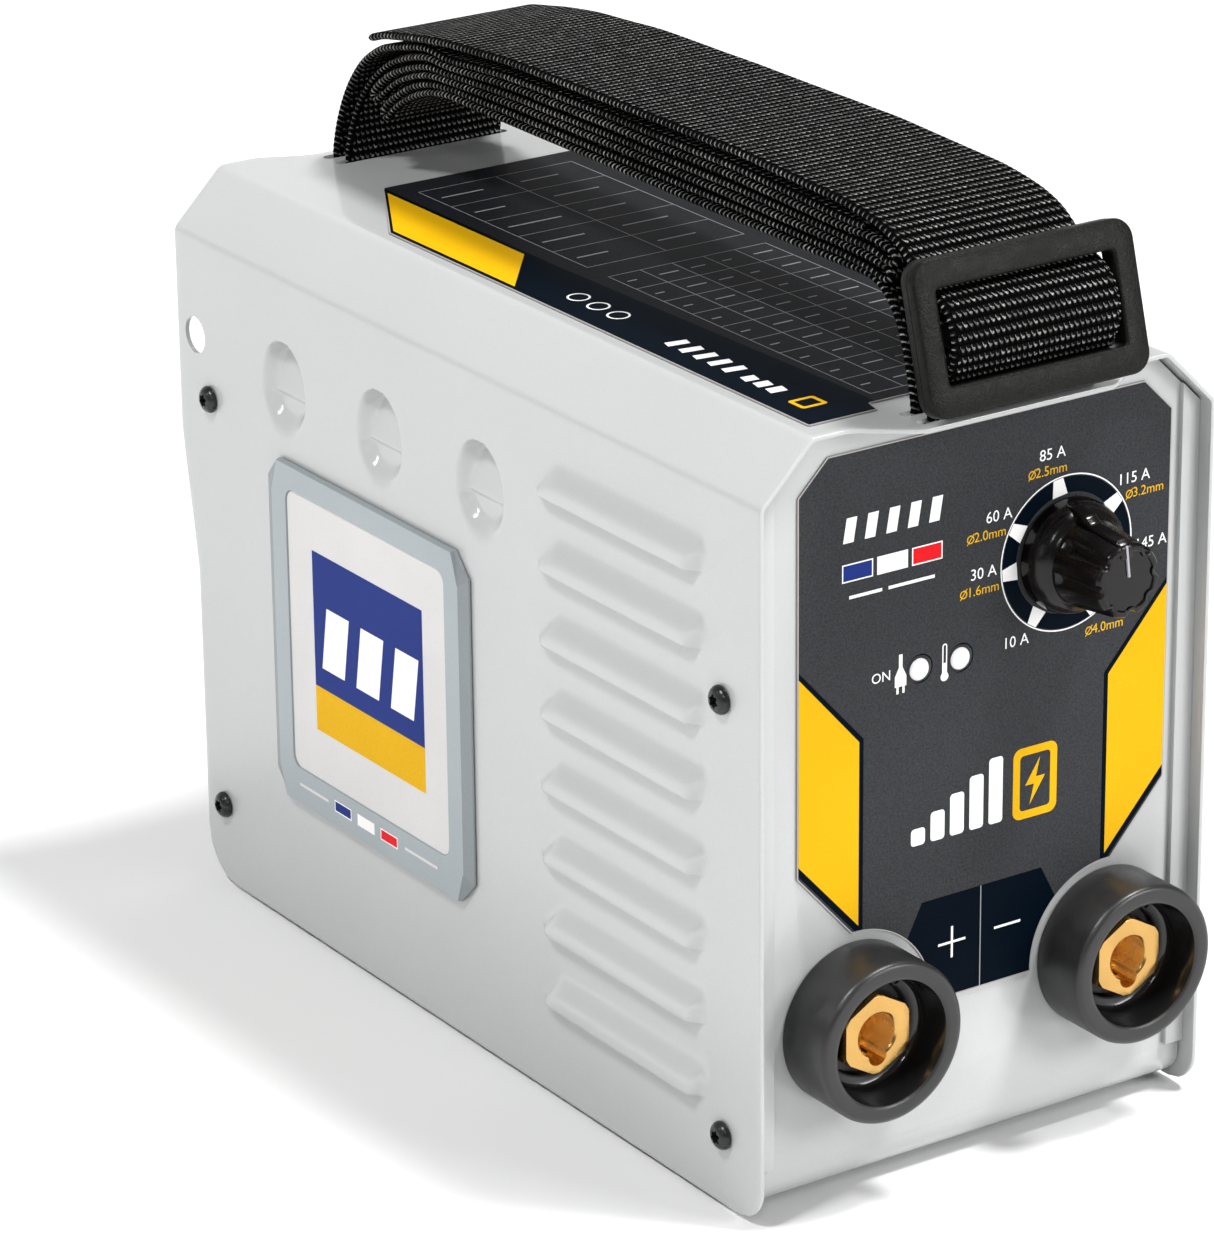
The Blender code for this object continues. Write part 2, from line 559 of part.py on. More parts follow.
def make_sockets():
    """Two weld sockets: insulating collar, brass insert, rear insulator and nut."""
    rim, seat = PANEL_Y - SOCKET_PROUD, PANEL_Y - GAP
    behind = PANEL_Y + PANEL_SHEET + GAP
    collar = [(SOCKET_R, seat), (SOCKET_R, rim + 1.2 * MM), (SOCKET_R - 1 * MM, rim), (SOCKET_R - 2.6 * MM, rim)]
    collar += [(SOCKET_R - 3.6 * MM, rim + 1.2 * MM), (13.4 * MM, -0.5 * MM), (10.4 * MM, -0.5 * MM)]
    collar += [(10.2 * MM, 1.6 * MM), (6.9 * MM, 1.6 * MM), (6.9 * MM, behind - GAP), (11.9 * MM, behind - GAP)]
    collar += [(11.9 * MM, seat)]
    insulator = [(6.9 * MM, behind), (15 * MM, behind), (15 * MM, behind + 4 * MM), (12 * MM, behind + 8 * MM)]
    insulator += [(6.9 * MM, behind + 8 * MM)]
    nut_y = behind + 8 * MM + GAP
    face, shank_r, shank_end = rim + 5.3 * MM, 6.5 * MM, nut_y + 9 * MM
    for name, x in socket_places().items():
        centre = (x, SOCKET_Z)
        pivot = (x, PANEL_Y, SOCKET_Z)
        put(f"{name}_collar", turned(collar, "Y", centre, 28), "black_plastic", pivot)
        put(f"{name}_insulator", turned(insulator, "Y", centre, 20), "black_plastic", pivot)

        brass = put(f"{name}_insert", prism(hexagon(16 * MM, centre), "Y", face, 1.3 * MM), "brass")
        combine(brass, "UNION", rod(shank_r, "Y", centre, 0.5 * MM, shank_end, 20))
        bore = rod(4.5 * MM, "Y", centre, face - 2 * MM, shank_end - 6 * MM, 20)
        combine(brass, "DIFFERENCE", bore)
        key = rod(1.9 * MM, "Y", (x, SOCKET_Z - 4.7 * MM), face - 2 * MM, face + 9 * MM, 12)
        combine(brass, "DIFFERENCE", key)

        nut = put(f"{name}_nut", prism(hexagon(19 * MM, centre), "Y", nut_y, nut_y + 6 * MM), "steel")
        combine(nut, "DIFFERENCE", rod(6.8 * MM, "Y", centre, nut_y - 5 * MM, nut_y + 12 * MM, 20))


def make_control_board():
    low = (-28 * MM, 16 * MM, 96 * MM)
    put("control_board", box(low, (44 * MM, 17.6 * MM, 150 * MM)), "board_green")


# Rear panel


def fan_corners():
    half = FAN_HOLE_PITCH / 2
    return [(x, FAN_Z + z) for x in (-half, half) for z in (-half, half)]


def make_fan():
    rear = REAR_Y - PANEL_SHEET - GAP
    front = rear - FAN_DEPTH
    centre = (0, FAN_Z)
    half = FAN_SIZE / 2
    square = fillet(rectangle((-half, FAN_Z - half), (half, FAN_Z + half)), 4 * MM, 3)
    frame = put("fan_frame", prism(square, "Y", front, rear), "black_plastic")
    holes = [rod(38.4 * MM, "Y", centre, front - 5 * MM, rear + 5 * MM, 32)]
    holes += [rod(2.2 * MM, "Y", place, front - 5 * MM, rear + 5 * MM, 10) for place in fan_corners()]
    combine(frame, "DIFFERENCE", together(*holes))
    arms = []
    for number in range(4):
        turn = Matrix.Rotation(math.radians(45 + 90 * number), 3, "Y")
        arm = box((12 * MM, front + 0.2 * MM, -2 * MM), (39.5 * MM, front + 3 * MM, 2 * MM))
        bmesh.ops.rotate(arm, cent=(0, 0, 0), matrix=turn, verts=arm.verts)
        bmesh.ops.translate(arm, vec=(0, 0, FAN_Z), verts=arm.verts)
        arms.append(arm)
    combine(frame, "UNION", together(*arms))
    combine(frame, "UNION", rod(16 * MM, "Y", centre, front + 0.1 * MM, front + 3.2 * MM, 20))

    hub = [(0, front + 4 * MM), (15.5 * MM, front + 4 * MM), (15.5 * MM, rear - 2.6 * MM)]
    hub += [(14 * MM, rear - 1.4 * MM), (0, rear - 1.4 * MM)]
    pivot = (0, rear - FAN_DEPTH / 2, FAN_Z)
    rotor = put("fan_rotor", turned(hub, "Y", centre, 24), "black_plastic", pivot)
    blades = []
    for number in range(7):
        blade = box((14.5 * MM, -10.5 * MM, -0.8 * MM), (37 * MM, 10.5 * MM, 0.8 * MM))
        pitch = Matrix.Rotation(math.radians(40), 3, "X")
        bmesh.ops.rotate(blade, cent=(0, 0, 0), matrix=pitch, verts=blade.verts)
        around = Matrix.Rotation(math.radians(360 * number / 7), 3, "Y")
        bmesh.ops.rotate(blade, cent=(0, 0, 0), matrix=around, verts=blade.verts)
        bmesh.ops.translate(blade, vec=(0, 1.5 * MM, 0), verts=blade.verts)
        blades.append(blade)
    combine(rotor, "UNION", together(*blades), in_case_frame=False)


def make_fan_guard():
    """Wire guard: four rings on four legs, with an eye for each fan screw."""
    wire = 0.9 * MM
    leg_y, ring_y = REAR_Y + GAP + wire, REAR_Y + GAP + 2.2 * wire
    circle = arc((0, 0), wire, 0, 270, 3)
    rings = []
    for radius in (9 * MM, 18 * MM, 27 * MM, 36 * MM):
        section = [(radius + a, ring_y + b) for a, b in circle]
        rings.append(turned(section, "Y", (0, FAN_Z), 24))
    guard = put("fan_guard", together(*rings), "steel")
    legs, eyes = [], []
    reach = FAN_HOLE_PITCH / 2 * math.sqrt(2)
    for number in range(4):
        leg = prism(arc((leg_y, 0), wire, 45, 315, 3), "X", 7.5 * MM, reach - 2.6 * MM)
        turn = Matrix.Rotation(math.radians(45 + 90 * number), 3, "Y")
        bmesh.ops.rotate(leg, cent=(0, 0, 0), matrix=turn, verts=leg.verts)
        bmesh.ops.translate(leg, vec=(0, 0, FAN_Z), verts=leg.verts)
        legs.append(leg)
    for place in fan_corners():
        eye = [(2.2 * MM, leg_y - 0.8 * MM), (3.9 * MM, leg_y - 0.8 * MM), (3.9 * MM, leg_y + 0.8 * MM)]
        eyes.append(turned(eye + [(2.2 * MM, leg_y + 0.8 * MM)], "Y", place, 12))
    combine(guard, "UNION", together(*legs))
    combine(guard, "UNION", together(*eyes))


def make_fan_screws():
    seat = REAR_Y + 2 * GAP + 1.8 * MM
    profile = [(0, REAR_Y - 16 * MM), (1.9 * MM, REAR_Y - 16 * MM), (1.9 * MM, seat), (3.4 * MM, seat)]
    profile += [(3.4 * MM, seat + 1 * MM), (2.4 * MM, seat + 2.2 * MM), (1.2 * MM, seat + 2.4 * MM)]
    profile += [(1 * MM, seat + 1.2 * MM), (0, seat + 1.2 * MM)]
    for number, place in enumerate(fan_corners(), 1):
        pivot = (place[0], REAR_Y, place[1])
        put(f"fan_screw_{number}", turned(profile, "Y", place, 12), "black_screw", pivot)


def make_switch():
    """Rocker switch: a flanged body through the rear panel, and a rocker that tips about a level axis."""
    half_x, half_z = 9.2 * MM, 13.7 * MM
    flange_x, flange_z = 11.5 * MM, 16 * MM
    seat = REAR_Y + GAP
    low = (SWITCH_X - flange_x, REAR_ROW_Z - flange_z)
    high = (SWITCH_X + flange_x, REAR_ROW_Z + flange_z)
    flange = prism(fillet(rectangle(low, high), 2 * MM, 2), "Y", seat, seat + 2 * MM)
    body = put("switch_body", flange, "black_plastic")
    low = (SWITCH_X - half_x, REAR_Y - 18 * MM, REAR_ROW_Z - half_z)
    high = (SWITCH_X + half_x, seat + 1 * MM, REAR_ROW_Z + half_z)
    combine(body, "UNION", box(low, high))
    low = (SWITCH_X - 7.3 * MM, REAR_Y - 8 * MM, REAR_ROW_Z - 12.6 * MM)
    high = (SWITCH_X + 7.3 * MM, REAR_Y + 8 * MM, REAR_ROW_Z + 12.6 * MM)
    combine(body, "DIFFERENCE", box(low, high))

    pivot = (SWITCH_X, REAR_Y, REAR_ROW_Z)
    half = [(0, -3.5 * MM), (6 * MM, -3.5 * MM), (11.3 * MM, -1.5 * MM), (11.3 * MM, 4.6 * MM)]
    half += [(0, 2.8 * MM)]
    outline = [(REAR_Y + y, REAR_ROW_Z + z) for z, y in half]
    outline += [(REAR_Y + y, REAR_ROW_Z - z) for z, y in half[-2:0:-1]]
    low_x, high_x = SWITCH_X - 6.9 * MM, SWITCH_X + 6.9 * MM
    put("switch_rocker", prism(outline, "X", low_x, high_x), "black_plastic", pivot, (ROCKER_TILT, 0, 0))


def make_gland():
    centre = (GLAND_X, REAR_ROW_Z)
    bore = 4 * MM
    seat, inner = REAR_Y + GAP, REAR_Y - PANEL_SHEET - GAP
    profile = [(bore, inner - 6.5 * MM), (8 * MM, inner - 6.5 * MM), (8 * MM, seat), (11 * MM, seat)]
    profile += [(11 * MM, seat + 5 * MM), (10 * MM, seat + 5.6 * MM), (10 * MM, seat + 10 * MM)]
    profile += [(7 * MM, seat + 14.5 * MM), (bore, seat + 14.5 * MM)]
    put("cable_gland", turned(profile, "Y", centre, 20), "black_plastic", (GLAND_X, REAR_Y, REAR_ROW_Z))
    nut = put("gland_nut", prism(hexagon(22 * MM, centre), "Y", inner - 5 * MM, inner), "black_plastic")
    combine(nut, "DIFFERENCE", rod(8.3 * MM, "Y", centre, inner - 9 * MM, inner + 4 * MM, 20))


# Inside


def make_main_board():
    low = (-BOARD_HALF, BOARD_FRONT, BOARD_Z)
    board = put("main_board", box(low, (BOARD_HALF, BOARD_REAR, BOARD_Z + BOARD_THICK)), "board_green")
    places = [(x, y) for x in (-45 * MM, 45 * MM) for y in (BOARD_FRONT + 6 * MM, BOARD_REAR - 6 * MM)]
    holes = [rod(1.7 * MM, "Z", place, BOARD_Z - 5 * MM, BOARD_Z + 5 * MM, 12) for place in places]
    combine(board, "DIFFERENCE", together(*holes))
    low_z, high_z = FLOOR_Z + PANEL_SHEET + GAP, BOARD_Z - GAP
    profile = [(0, low_z), (3 * MM, low_z), (3 * MM, high_z), (1.4 * MM, high_z)]
    profile += [(1.4 * MM, high_z + 4 * MM), (0, high_z + 4 * MM)]
    for number, place in enumerate(places, 1):
        put(f"standoff_{number}", turned(profile, "Z", place, 12), "brass", (*place, low_z))


def make_heat_sinks():
    """Finned extrusions along both sides of the board, each carrying a power transistor."""
    base_x, fin_x, height, fins = 22 * MM, 46 * MM, 56 * MM, 7
    pitch, fin = height / fins, 2.2 * MM
    outline = [(base_x, DECK_Z)]
    for number in range(fins):
        low = DECK_Z + pitch * number
        outline += [(fin_x, low), (fin_x, low + fin), (base_x + 4 * MM, low + fin)]
        outline.append((base_x + 4 * MM, low + pitch))
    outline[-1] = (base_x, DECK_Z + pitch * (fins - 1) + fin)
    del outline[-2]
    for name, side in (("left", -1), ("right", 1)):
        comb = [(side * x, z) for x, z in outline]
        put(f"{name}_heat_sink", prism(comb, "Y", 66 * MM, 156 * MM), "aluminium")
        case = sorted((side * (base_x - GAP), side * (base_x - GAP - 5 * MM)))
        low = (case[0], 138 * MM, 30 * MM)
        transistor = put(f"{name}_transistor", box(low, (case[1], 154 * MM, 50 * MM)), "black_plastic")
        legs = []
        for number in range(3):
            y = 141 * MM + 5 * MM * number
            x = side * (base_x - 3 * MM)
            legs.append(box((x - 0.4 * MM, y - 0.6 * MM, DECK_Z), (x + 0.4 * MM, y + 0.6 * MM, 31 * MM)))
        combine(transistor, "UNION", together(*legs))


def make_capacitors():
    for number, y in enumerate((50 * MM, 83 * MM), 1):
        top = DECK_Z + 45 * MM
        profile = [(0, DECK_Z), (14.4 * MM, DECK_Z), (15 * MM, DECK_Z + 1 * MM), (15 * MM, DECK_Z + 3 * MM)]
        profile += [(14.5 * MM, DECK_Z + 4 * MM), (15 * MM, DECK_Z + 5 * MM), (15 * MM, top - 1 * MM)]
        profile += [(14 * MM, top), (0, top)]
        put(f"capacitor_{number}", turned(profile, "Z", (0, y), 16), "black_plastic", (0, y, DECK_Z))


def make_transformer():
    """Ferrite core with a middle limb, and the winding round that limb."""
    y, half_depth = 122 * MM, 8 * MM
    height = 36 * MM
    core = box((-16.5 * MM, y - half_depth, DECK_Z), (16.5 * MM, y + half_depth, DECK_Z + height))
    core = put("transformer_core", core, "ferrite")
    low_z, high_z = DECK_Z + 6 * MM, DECK_Z + height - 6 * MM
    window = box((5 * MM, y - 20 * MM, low_z), (12 * MM, y + 20 * MM, high_z))
    combine(core, "DIFFERENCE", mirrored(window))
    outer = fillet(rectangle((-11.6 * MM, y - 14 * MM), (11.6 * MM, y + 14 * MM)), 5 * MM, 4)
    coil = put("transformer_coil", prism(outer, "Z", low_z + 0.4 * MM, high_z - 0.4 * MM), "copper")
    limb = box((-5.4 * MM, y - half_depth - 0.4 * MM, 0), (5.4 * MM, y + half_depth + 0.4 * MM, 80 * MM))
    combine(coil, "DIFFERENCE", limb)
    ring = [(8 * MM, DECK_Z + 1 * MM), (9 * MM, DECK_Z), (16 * MM, DECK_Z), (17 * MM, DECK_Z + 1 * MM)]
    ring += [(17 * MM, DECK_Z + 12 * MM), (16 * MM, DECK_Z + 13 * MM), (9 * MM, DECK_Z + 13 * MM)]
    ring += [(8 * MM, DECK_Z + 12 * MM)]
    put("output_choke", turned(ring, "Z", (0, 158 * MM), 18), "copper", (0, 158 * MM, DECK_Z))


# Strap


def buckle_point(up, forward):
    """A point in the strap's side view, from the middle of the buckle's front face."""
    y, z = BUCKLE_CENTRE
    sin, cos = math.sin(BUCKLE_TILT), math.cos(BUCKLE_TILT)
    return (y + up * sin - forward * cos, z + up * cos + forward * sin)


def make_strap():
    """Webbing folded back and forth above the case, with both ends looped through its slots."""
    top = [(203, 202.5), (196, 205), (176, 208.3), (148, 210.3), (110, 210.8), (60, 210.8), (25, 209.3)]
    top += [(12, 207.5), (5, 204.8), (-0.5, 200.5)]
    under = [(6, 194.5), (12, 194.6), (60, 194.8), (120, 195.2), (172, 195.2), (186, 192.5), (199, 186)]
    bundle = [(y * MM, z * MM) for y, z in top + under]
    strap = put("strap", prism(bundle, "X", -STRAP_HALF, STRAP_HALF), "webbing")

    low_z, loop_z = TOP - SHEET - 0.4 * MM - WEBBING, TOP - SHEET - 0.4 * MM
    inner, outer = REAR_SLOTS[0] - WEBBING / 2, REAR_SLOTS[1] + WEBBING / 2
    leg = [(inner, low_z), (outer, low_z), (outer, TOP + 1 * MM), (219.6 * MM, 179 * MM)]
    leg += [(216.8 * MM, 185.5 * MM), (212.8 * MM, 192 * MM), (207.6 * MM, 197.5 * MM), (200 * MM, 202.6 * MM)]
    leg += [(196 * MM, 190 * MM), (204 * MM, 186 * MM), (211 * MM, 180 * MM), (inner, TOP + 1 * MM)]
    combine(strap, "UNION", prism(leg, "X", 0.1 * MM - STRAP_HALF, STRAP_HALF - 0.1 * MM))

    back = FRONT_SLOTS[1]
    strand = [(back, low_z), (back, TOP + 2 * MM), (2.9 * MM, 181.5 * MM), (6 * MM, 190 * MM)]
    strand.append((12 * MM, 197 * MM))
    combine(strap, "UNION", prism(ribbon(strand, WEBBING), "X", 0.2 * MM - STRAP_HALF, STRAP_HALF - 0.2 * MM))

    front = FRONT_SLOTS[0]
    through = [(-10.5, -6.0), (-8.9, -5.3), (-3.2, 0.4), (-1.5, 1.2), (1.5, 1.2), (3.2, 0.4), (8.9, -5.3)]
    through += [(10.5, -6.0), (14, -6.2)]
    path = [(front, low_z), (front, TOP + 1.2 * MM)]
    path += [buckle_point(up * MM, forward * MM) for up, forward in through] + [(5 * MM, 203 * MM)]
    combine(strap, "UNION", prism(ribbon(path, WEBBING), "X", 0.3 * MM - STRAP_HALF, STRAP_HALF - 0.3 * MM))

    loop = rectangle((front - WEBBING / 2, low_z), (back + WEBBING / 2, loop_z))
    combine(strap, "UNION", prism(loop, "X", 0.4 * MM - STRAP_HALF, STRAP_HALF - 0.4 * MM))
    low, high = REAR_SLOTS[0] + WEBBING / 2, REAR_SLOTS[1] - WEBBING / 2
    bar = box((-30 * MM, low, loop_z), (30 * MM, high, TOP + 0.6 * MM))
    combine(strap, "DIFFERENCE", bar)


def make_buckle():
    """Three-bar slide, leaning back against the front of the strap."""
    half_x, half_z = BUCKLE_WIDTH / 2, BUCKLE_HEIGHT / 2
    frame = fillet(rectangle((-half_x, -half_z), (half_x, half_z)), 4.5 * MM, 4)
    centre = (0, *BUCKLE_CENTRE)
    buckle = put("buckle", prism(frame, "Y", 0, BUCKLE_THICK), "black_plastic")
    buckle.location = centre
    buckle.rotation_euler = (-BUCKLE_TILT, 0, 0)
    windows = []
    for low, high in ((-9.7 * MM, -2.1 * MM), (2.1 * MM, 9.7 * MM)):
        opening = fillet(rectangle((-23.2 * MM, low), (23.2 * MM, high)), 1 * MM, 2)
        windows.append(prism(opening, "Y", -5 * MM, BUCKLE_THICK + 5 * MM))
    combine(buckle, "DIFFERENCE", together(*windows), in_case_frame=False)
    recess = box((-23 * MM, -3 * MM, -2.5 * MM), (23 * MM, 0.7 * MM, 2.5 * MM))
    combine(buckle, "DIFFERENCE", recess, in_case_frame=False)


def main():
    for old in list(bpy.data.objects):
        bpy.data.objects.remove(old)
    root = bpy.data.objects.new("welder", None)
    root.location = (0, -ORIGIN_Y, 0)
    bpy.context.scene.collection.objects.link(root)
    makers = (make_cover, make_chassis, make_cover_screws, make_feet, make_front_label, make_top_label)
    makers += (make_side_badge, make_knob, make_potentiometer, make_lamps, make_sockets, make_control_board)
    makers += (make_fan, make_fan_guard, make_fan_screws, make_switch, make_gland, make_main_board)
    makers += (make_heat_sinks, make_capacitors, make_transformer, make_strap, make_buckle)
    for make in makers:
        make()


main()
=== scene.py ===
"""Stick welder: finishes, printed labels, webbing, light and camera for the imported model.

Shapes are drawn in millimetres in the case frame, whose y = 0 is the front edge of the cover.
"""

import json
import math
from functools import partial

import bmesh
import bpy
from mathutils import Matrix, Vector, noise

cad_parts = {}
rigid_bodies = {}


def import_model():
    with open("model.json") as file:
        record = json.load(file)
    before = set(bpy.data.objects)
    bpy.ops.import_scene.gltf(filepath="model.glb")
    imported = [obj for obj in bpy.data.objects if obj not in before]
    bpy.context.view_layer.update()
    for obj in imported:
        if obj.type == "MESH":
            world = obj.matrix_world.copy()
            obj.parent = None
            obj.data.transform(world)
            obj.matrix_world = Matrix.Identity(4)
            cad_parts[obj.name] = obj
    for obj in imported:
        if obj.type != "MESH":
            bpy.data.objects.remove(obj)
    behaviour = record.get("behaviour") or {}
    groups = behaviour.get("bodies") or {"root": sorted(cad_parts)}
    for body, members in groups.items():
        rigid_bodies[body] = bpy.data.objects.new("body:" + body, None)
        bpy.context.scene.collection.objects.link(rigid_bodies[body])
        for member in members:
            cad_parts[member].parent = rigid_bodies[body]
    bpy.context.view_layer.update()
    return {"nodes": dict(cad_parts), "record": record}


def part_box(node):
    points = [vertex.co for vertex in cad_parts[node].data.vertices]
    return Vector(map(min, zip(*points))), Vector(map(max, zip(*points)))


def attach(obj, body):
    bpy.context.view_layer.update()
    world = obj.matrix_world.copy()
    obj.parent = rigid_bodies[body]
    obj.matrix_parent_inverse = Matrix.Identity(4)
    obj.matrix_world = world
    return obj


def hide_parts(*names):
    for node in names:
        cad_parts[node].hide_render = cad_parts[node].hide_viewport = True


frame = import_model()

LIP_DEPTH = 9.0
FRONT_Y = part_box("cover")[0].y * 1000 + LIP_DEPTH
TO_WORLD = Matrix.Scale(0.001, 4) @ Matrix.Translation((0, FRONT_Y, 0))

HALF, LENGTH, LOWER_LENGTH = 57.5, 230.0, 224.6
BASE, TOP, CHAMFER, SHEET = 1.0, 170.7, 12.5, 1.0
PANEL_Y, PANEL_SHEET, PANEL_HALF, REAR_Y = 4.5, 1.2, 56.1, 209.0
CENTRE = 2.0  # middle of the front label
FILM, INK_STEP = 0.4, 0.015  # a label's face above its sheet, and one ink layer above another
DIAL = (22.4, 130.8)
LAMPS = {"power_lamp": -14.9, "thermal_lamp": -4.5}
LAMP_Z = 113.8
SOCKETS = {"positive": -31.1, "negative": 34.7}
SOCKET_Z = 39.4
SCREWS = ((13.2, 17.1), (13.2, 114.1), (216.0, 20.6), (216.0, 120.8))
CORD_HOLE = (222.2, 134.5)


# Materials


def shades(colour, spread):
    low = [c * (1 - spread) for c in colour]
    high = [min(1.0, c * (1 + spread)) for c in colour]
    return low, high


def connect(tree, value, socket):
    """Links another node's output to a socket, or sets the socket to a plain value."""
    if isinstance(value, bpy.types.NodeSocket):
        tree.links.new(value, socket)
    else:
        socket.default_value = value


def add_node(tree, kind, **inputs):
    node = tree.nodes.new("ShaderNode" + kind)
    for name, value in inputs.items():
        connect(tree, value, node.inputs[name])
    return node


def mix(tree, factor, low, high, blend="MIX"):
    node = tree.nodes.new("ShaderNodeMix")
    node.data_type, node.blend_type = "RGBA", blend
    for name, value in (("Factor", factor), ("A", low), ("B", high)):
        connect(tree, value, node.inputs[name])
    return node.outputs["Result"]


def new_material(name):
    made = bpy.data.materials.new(name)
    made.use_nodes = True
    return made, made.node_tree, made.node_tree.nodes["Principled BSDF"]


def material(
    name, colour, roughness, metallic=0.0, mottle=(0.03, 40), grain=(0.0, 3000), bumps=(), rough=0.0,
    **sockets,
):
    """A Principled material.

    mottle and grain are the spread and scale of colour noise, bumps are (scale, depth in metres),
    and rough is how far the roughness wanders.
    """
    made, tree, shader = new_material(name)
    place = add_node(tree, "TexCoord").outputs["Object"]

    def cloud(scale, detail=2.0):
        return add_node(tree, "TexNoise", Scale=scale, Detail=detail, Vector=place).outputs["Fac"]

    def stretched(value, low, high):
        ends = {"From Min": 0.3, "From Max": 0.7, "To Min": low, "To Max": high}
        return add_node(tree, "MapRange", Value=value, **ends).outputs["Result"]

    low, high = shades(colour, mottle[0])
    tone = mix(tree, stretched(cloud(mottle[1]), 0, 1), (*low, 1), (*high, 1))
    if grain[0]:
        darker, lighter = ((*[1 + way * grain[0]] * 3, 1) for way in (-1, 1))
        speck = mix(tree, stretched(cloud(grain[1], 3), 0, 1), darker, lighter)
        tone = mix(tree, 1, tone, speck, "MULTIPLY")
    connect(tree, tone, shader.inputs["Base Color"])
    shader.inputs["Metallic"].default_value = metallic
    if rough:
        roughness = stretched(cloud(300, 3), roughness - rough, roughness + rough)
    connect(tree, roughness, shader.inputs["Roughness"])
    normal = None
    for scale, depth in bumps:
        node = add_node(tree, "Bump", Distance=depth, Height=cloud(scale))
        if normal:
            tree.links.new(normal, node.inputs["Normal"])
        normal = node.outputs["Normal"]
    if normal:
        tree.links.new(normal, shader.inputs["Normal"])
    for socket, value in sockets.items():
        shader.inputs[socket.replace("_", " ")].default_value = value
    return made


def ink(name, colour, roughness=0.5, grain=0.06, scale=2600, shine=0.06, textured=False):
    """A matt printed film."""
    bumps = ((2600, 1.2e-5),) if textured else ()
    return material(name, colour, roughness, grain=(grain, scale), bumps=bumps, Specular_IOR_Level=shine)


POWDER = material(
    "powder_coat", (0.455, 0.463, 0.463), 0.45, mottle=(0.012, 25), grain=(0.025, 2600),
    bumps=((1500, 2e-5), (260, 3e-5)), Coat_Weight=0.8, Coat_Roughness=0.11
)
LABEL = ink("label_grey", (0.036, 0.0375, 0.041), grain=0.3, scale=2200, shine=0.05, textured=True)
# A darker copy of the label ink for the top label: painted shade, standing in for how dark the top face looks
# under the light.
TOP_LABEL_SHADED = ink(
    "top_label_shaded_grey", (0.014, 0.015, 0.018), grain=0.3, scale=2200, shine=0.04, textured=True
)
LABEL_EDGE = material("label_edge", (0.36, 0.34, 0.33), 0.5)
NAVY = ink("navy_ink", (0.0012, 0.004, 0.0085), 0.45, grain=0.3, shine=0.02, textured=True)
YELLOW = ink("yellow_ink", (0.72, 0.40, 0.004), textured=True)
WHITE = ink("white_ink", (0.88, 0.88, 0.87), 0.45, grain=0.02)
PALE = ink("pale_ink", (0.30, 0.30, 0.31), grain=0.05)
BLUE = ink("blue_ink", (0.012, 0.03, 0.19), 0.45)
RED = ink("red_ink", (0.72, 0.01, 0.015), 0.45, grain=0.05)
BLACK_SATIN = material(
    "satin_plastic", (0.014, 0.014, 0.0145), 0.36, grain=(0.15, 2500), bumps=((2500, 2.5e-5),),
    rough=0.05
)
BLACK_GLOSS = material(
    "polished_plastic", (0.009, 0.009, 0.0095), 0.14, bumps=((180, 3e-5), (2500, 1e-5)), rough=0.03
)
BLACK_PLAIN = material(
    "black_plastic", (0.012, 0.012, 0.0125), 0.4, grain=(0.1, 2500), bumps=((2200, 2e-5),),
    Specular_IOR_Level=0.3
)
BUCKLE_PLASTIC = material(
    "grained_plastic", (0.0050, 0.0055, 0.0045), 0.42, grain=(0.9, 2600),
    bumps=((2600, 1e-4), (1100, 1e-4)), rough=0.08, Specular_IOR_Level=0.13
)
SMOKE = material(
    "smoke_plastic", (0.0055, 0.0042, 0.004), 0.2, mottle=(0.15, 120), grain=(0.12, 2600),
    bumps=((2600, 2e-5),), rough=0.04, Transmission_Weight=0.35, IOR=1.5, Specular_IOR_Level=0.2
)
BRASS = material(
    "brass", (0.58, 0.345, 0.11), 0.24, 1.0, mottle=(0.08, 150), bumps=((900, 2e-5), (160, 6e-5)),
    rough=0.07
)
# The bore brass below is painted light: a brighter, less metallic copy of the brass, standing in for light
# reaching inside the bore.
BRASS_BORE_LIT = material(
    "brass_bore_painted_light", (0.95, 0.60, 0.2), 0.26, 0.6, mottle=(0.15, 200), bumps=((250, 5e-5),), rough=0.08
)
STEEL = material("steel", (0.55, 0.56, 0.57), 0.3, 1.0, bumps=((1200, 1e-5),), rough=0.07)
SCREW_BLACK = material(
    "black_screw", (0.012, 0.012, 0.013), 0.28, 0.0, grain=(0.3, 1800), bumps=((1500, 3e-5),),
    rough=0.08, Specular_IOR_Level=0.4
)
LAMP = material(
    "lamp", (0.78, 0.78, 0.79), 0.16, mottle=(0.02, 300), bumps=((300, 1e-5),), Subsurface_Weight=0.3,
    Subsurface_Scale=0.001
)
RUBBER = material(
    "rubber", (0.016, 0.016, 0.017), 0.75, grain=(0.1, 1800), bumps=((1500, 3e-5),),
    Specular_IOR_Level=0.12
)
BADGE_GREY = material(
    "badge_grey", (0.33, 0.37, 0.39), 0.38, 0.25, grain=(0.05, 2600), bumps=((2600, 1.5e-5),)
)
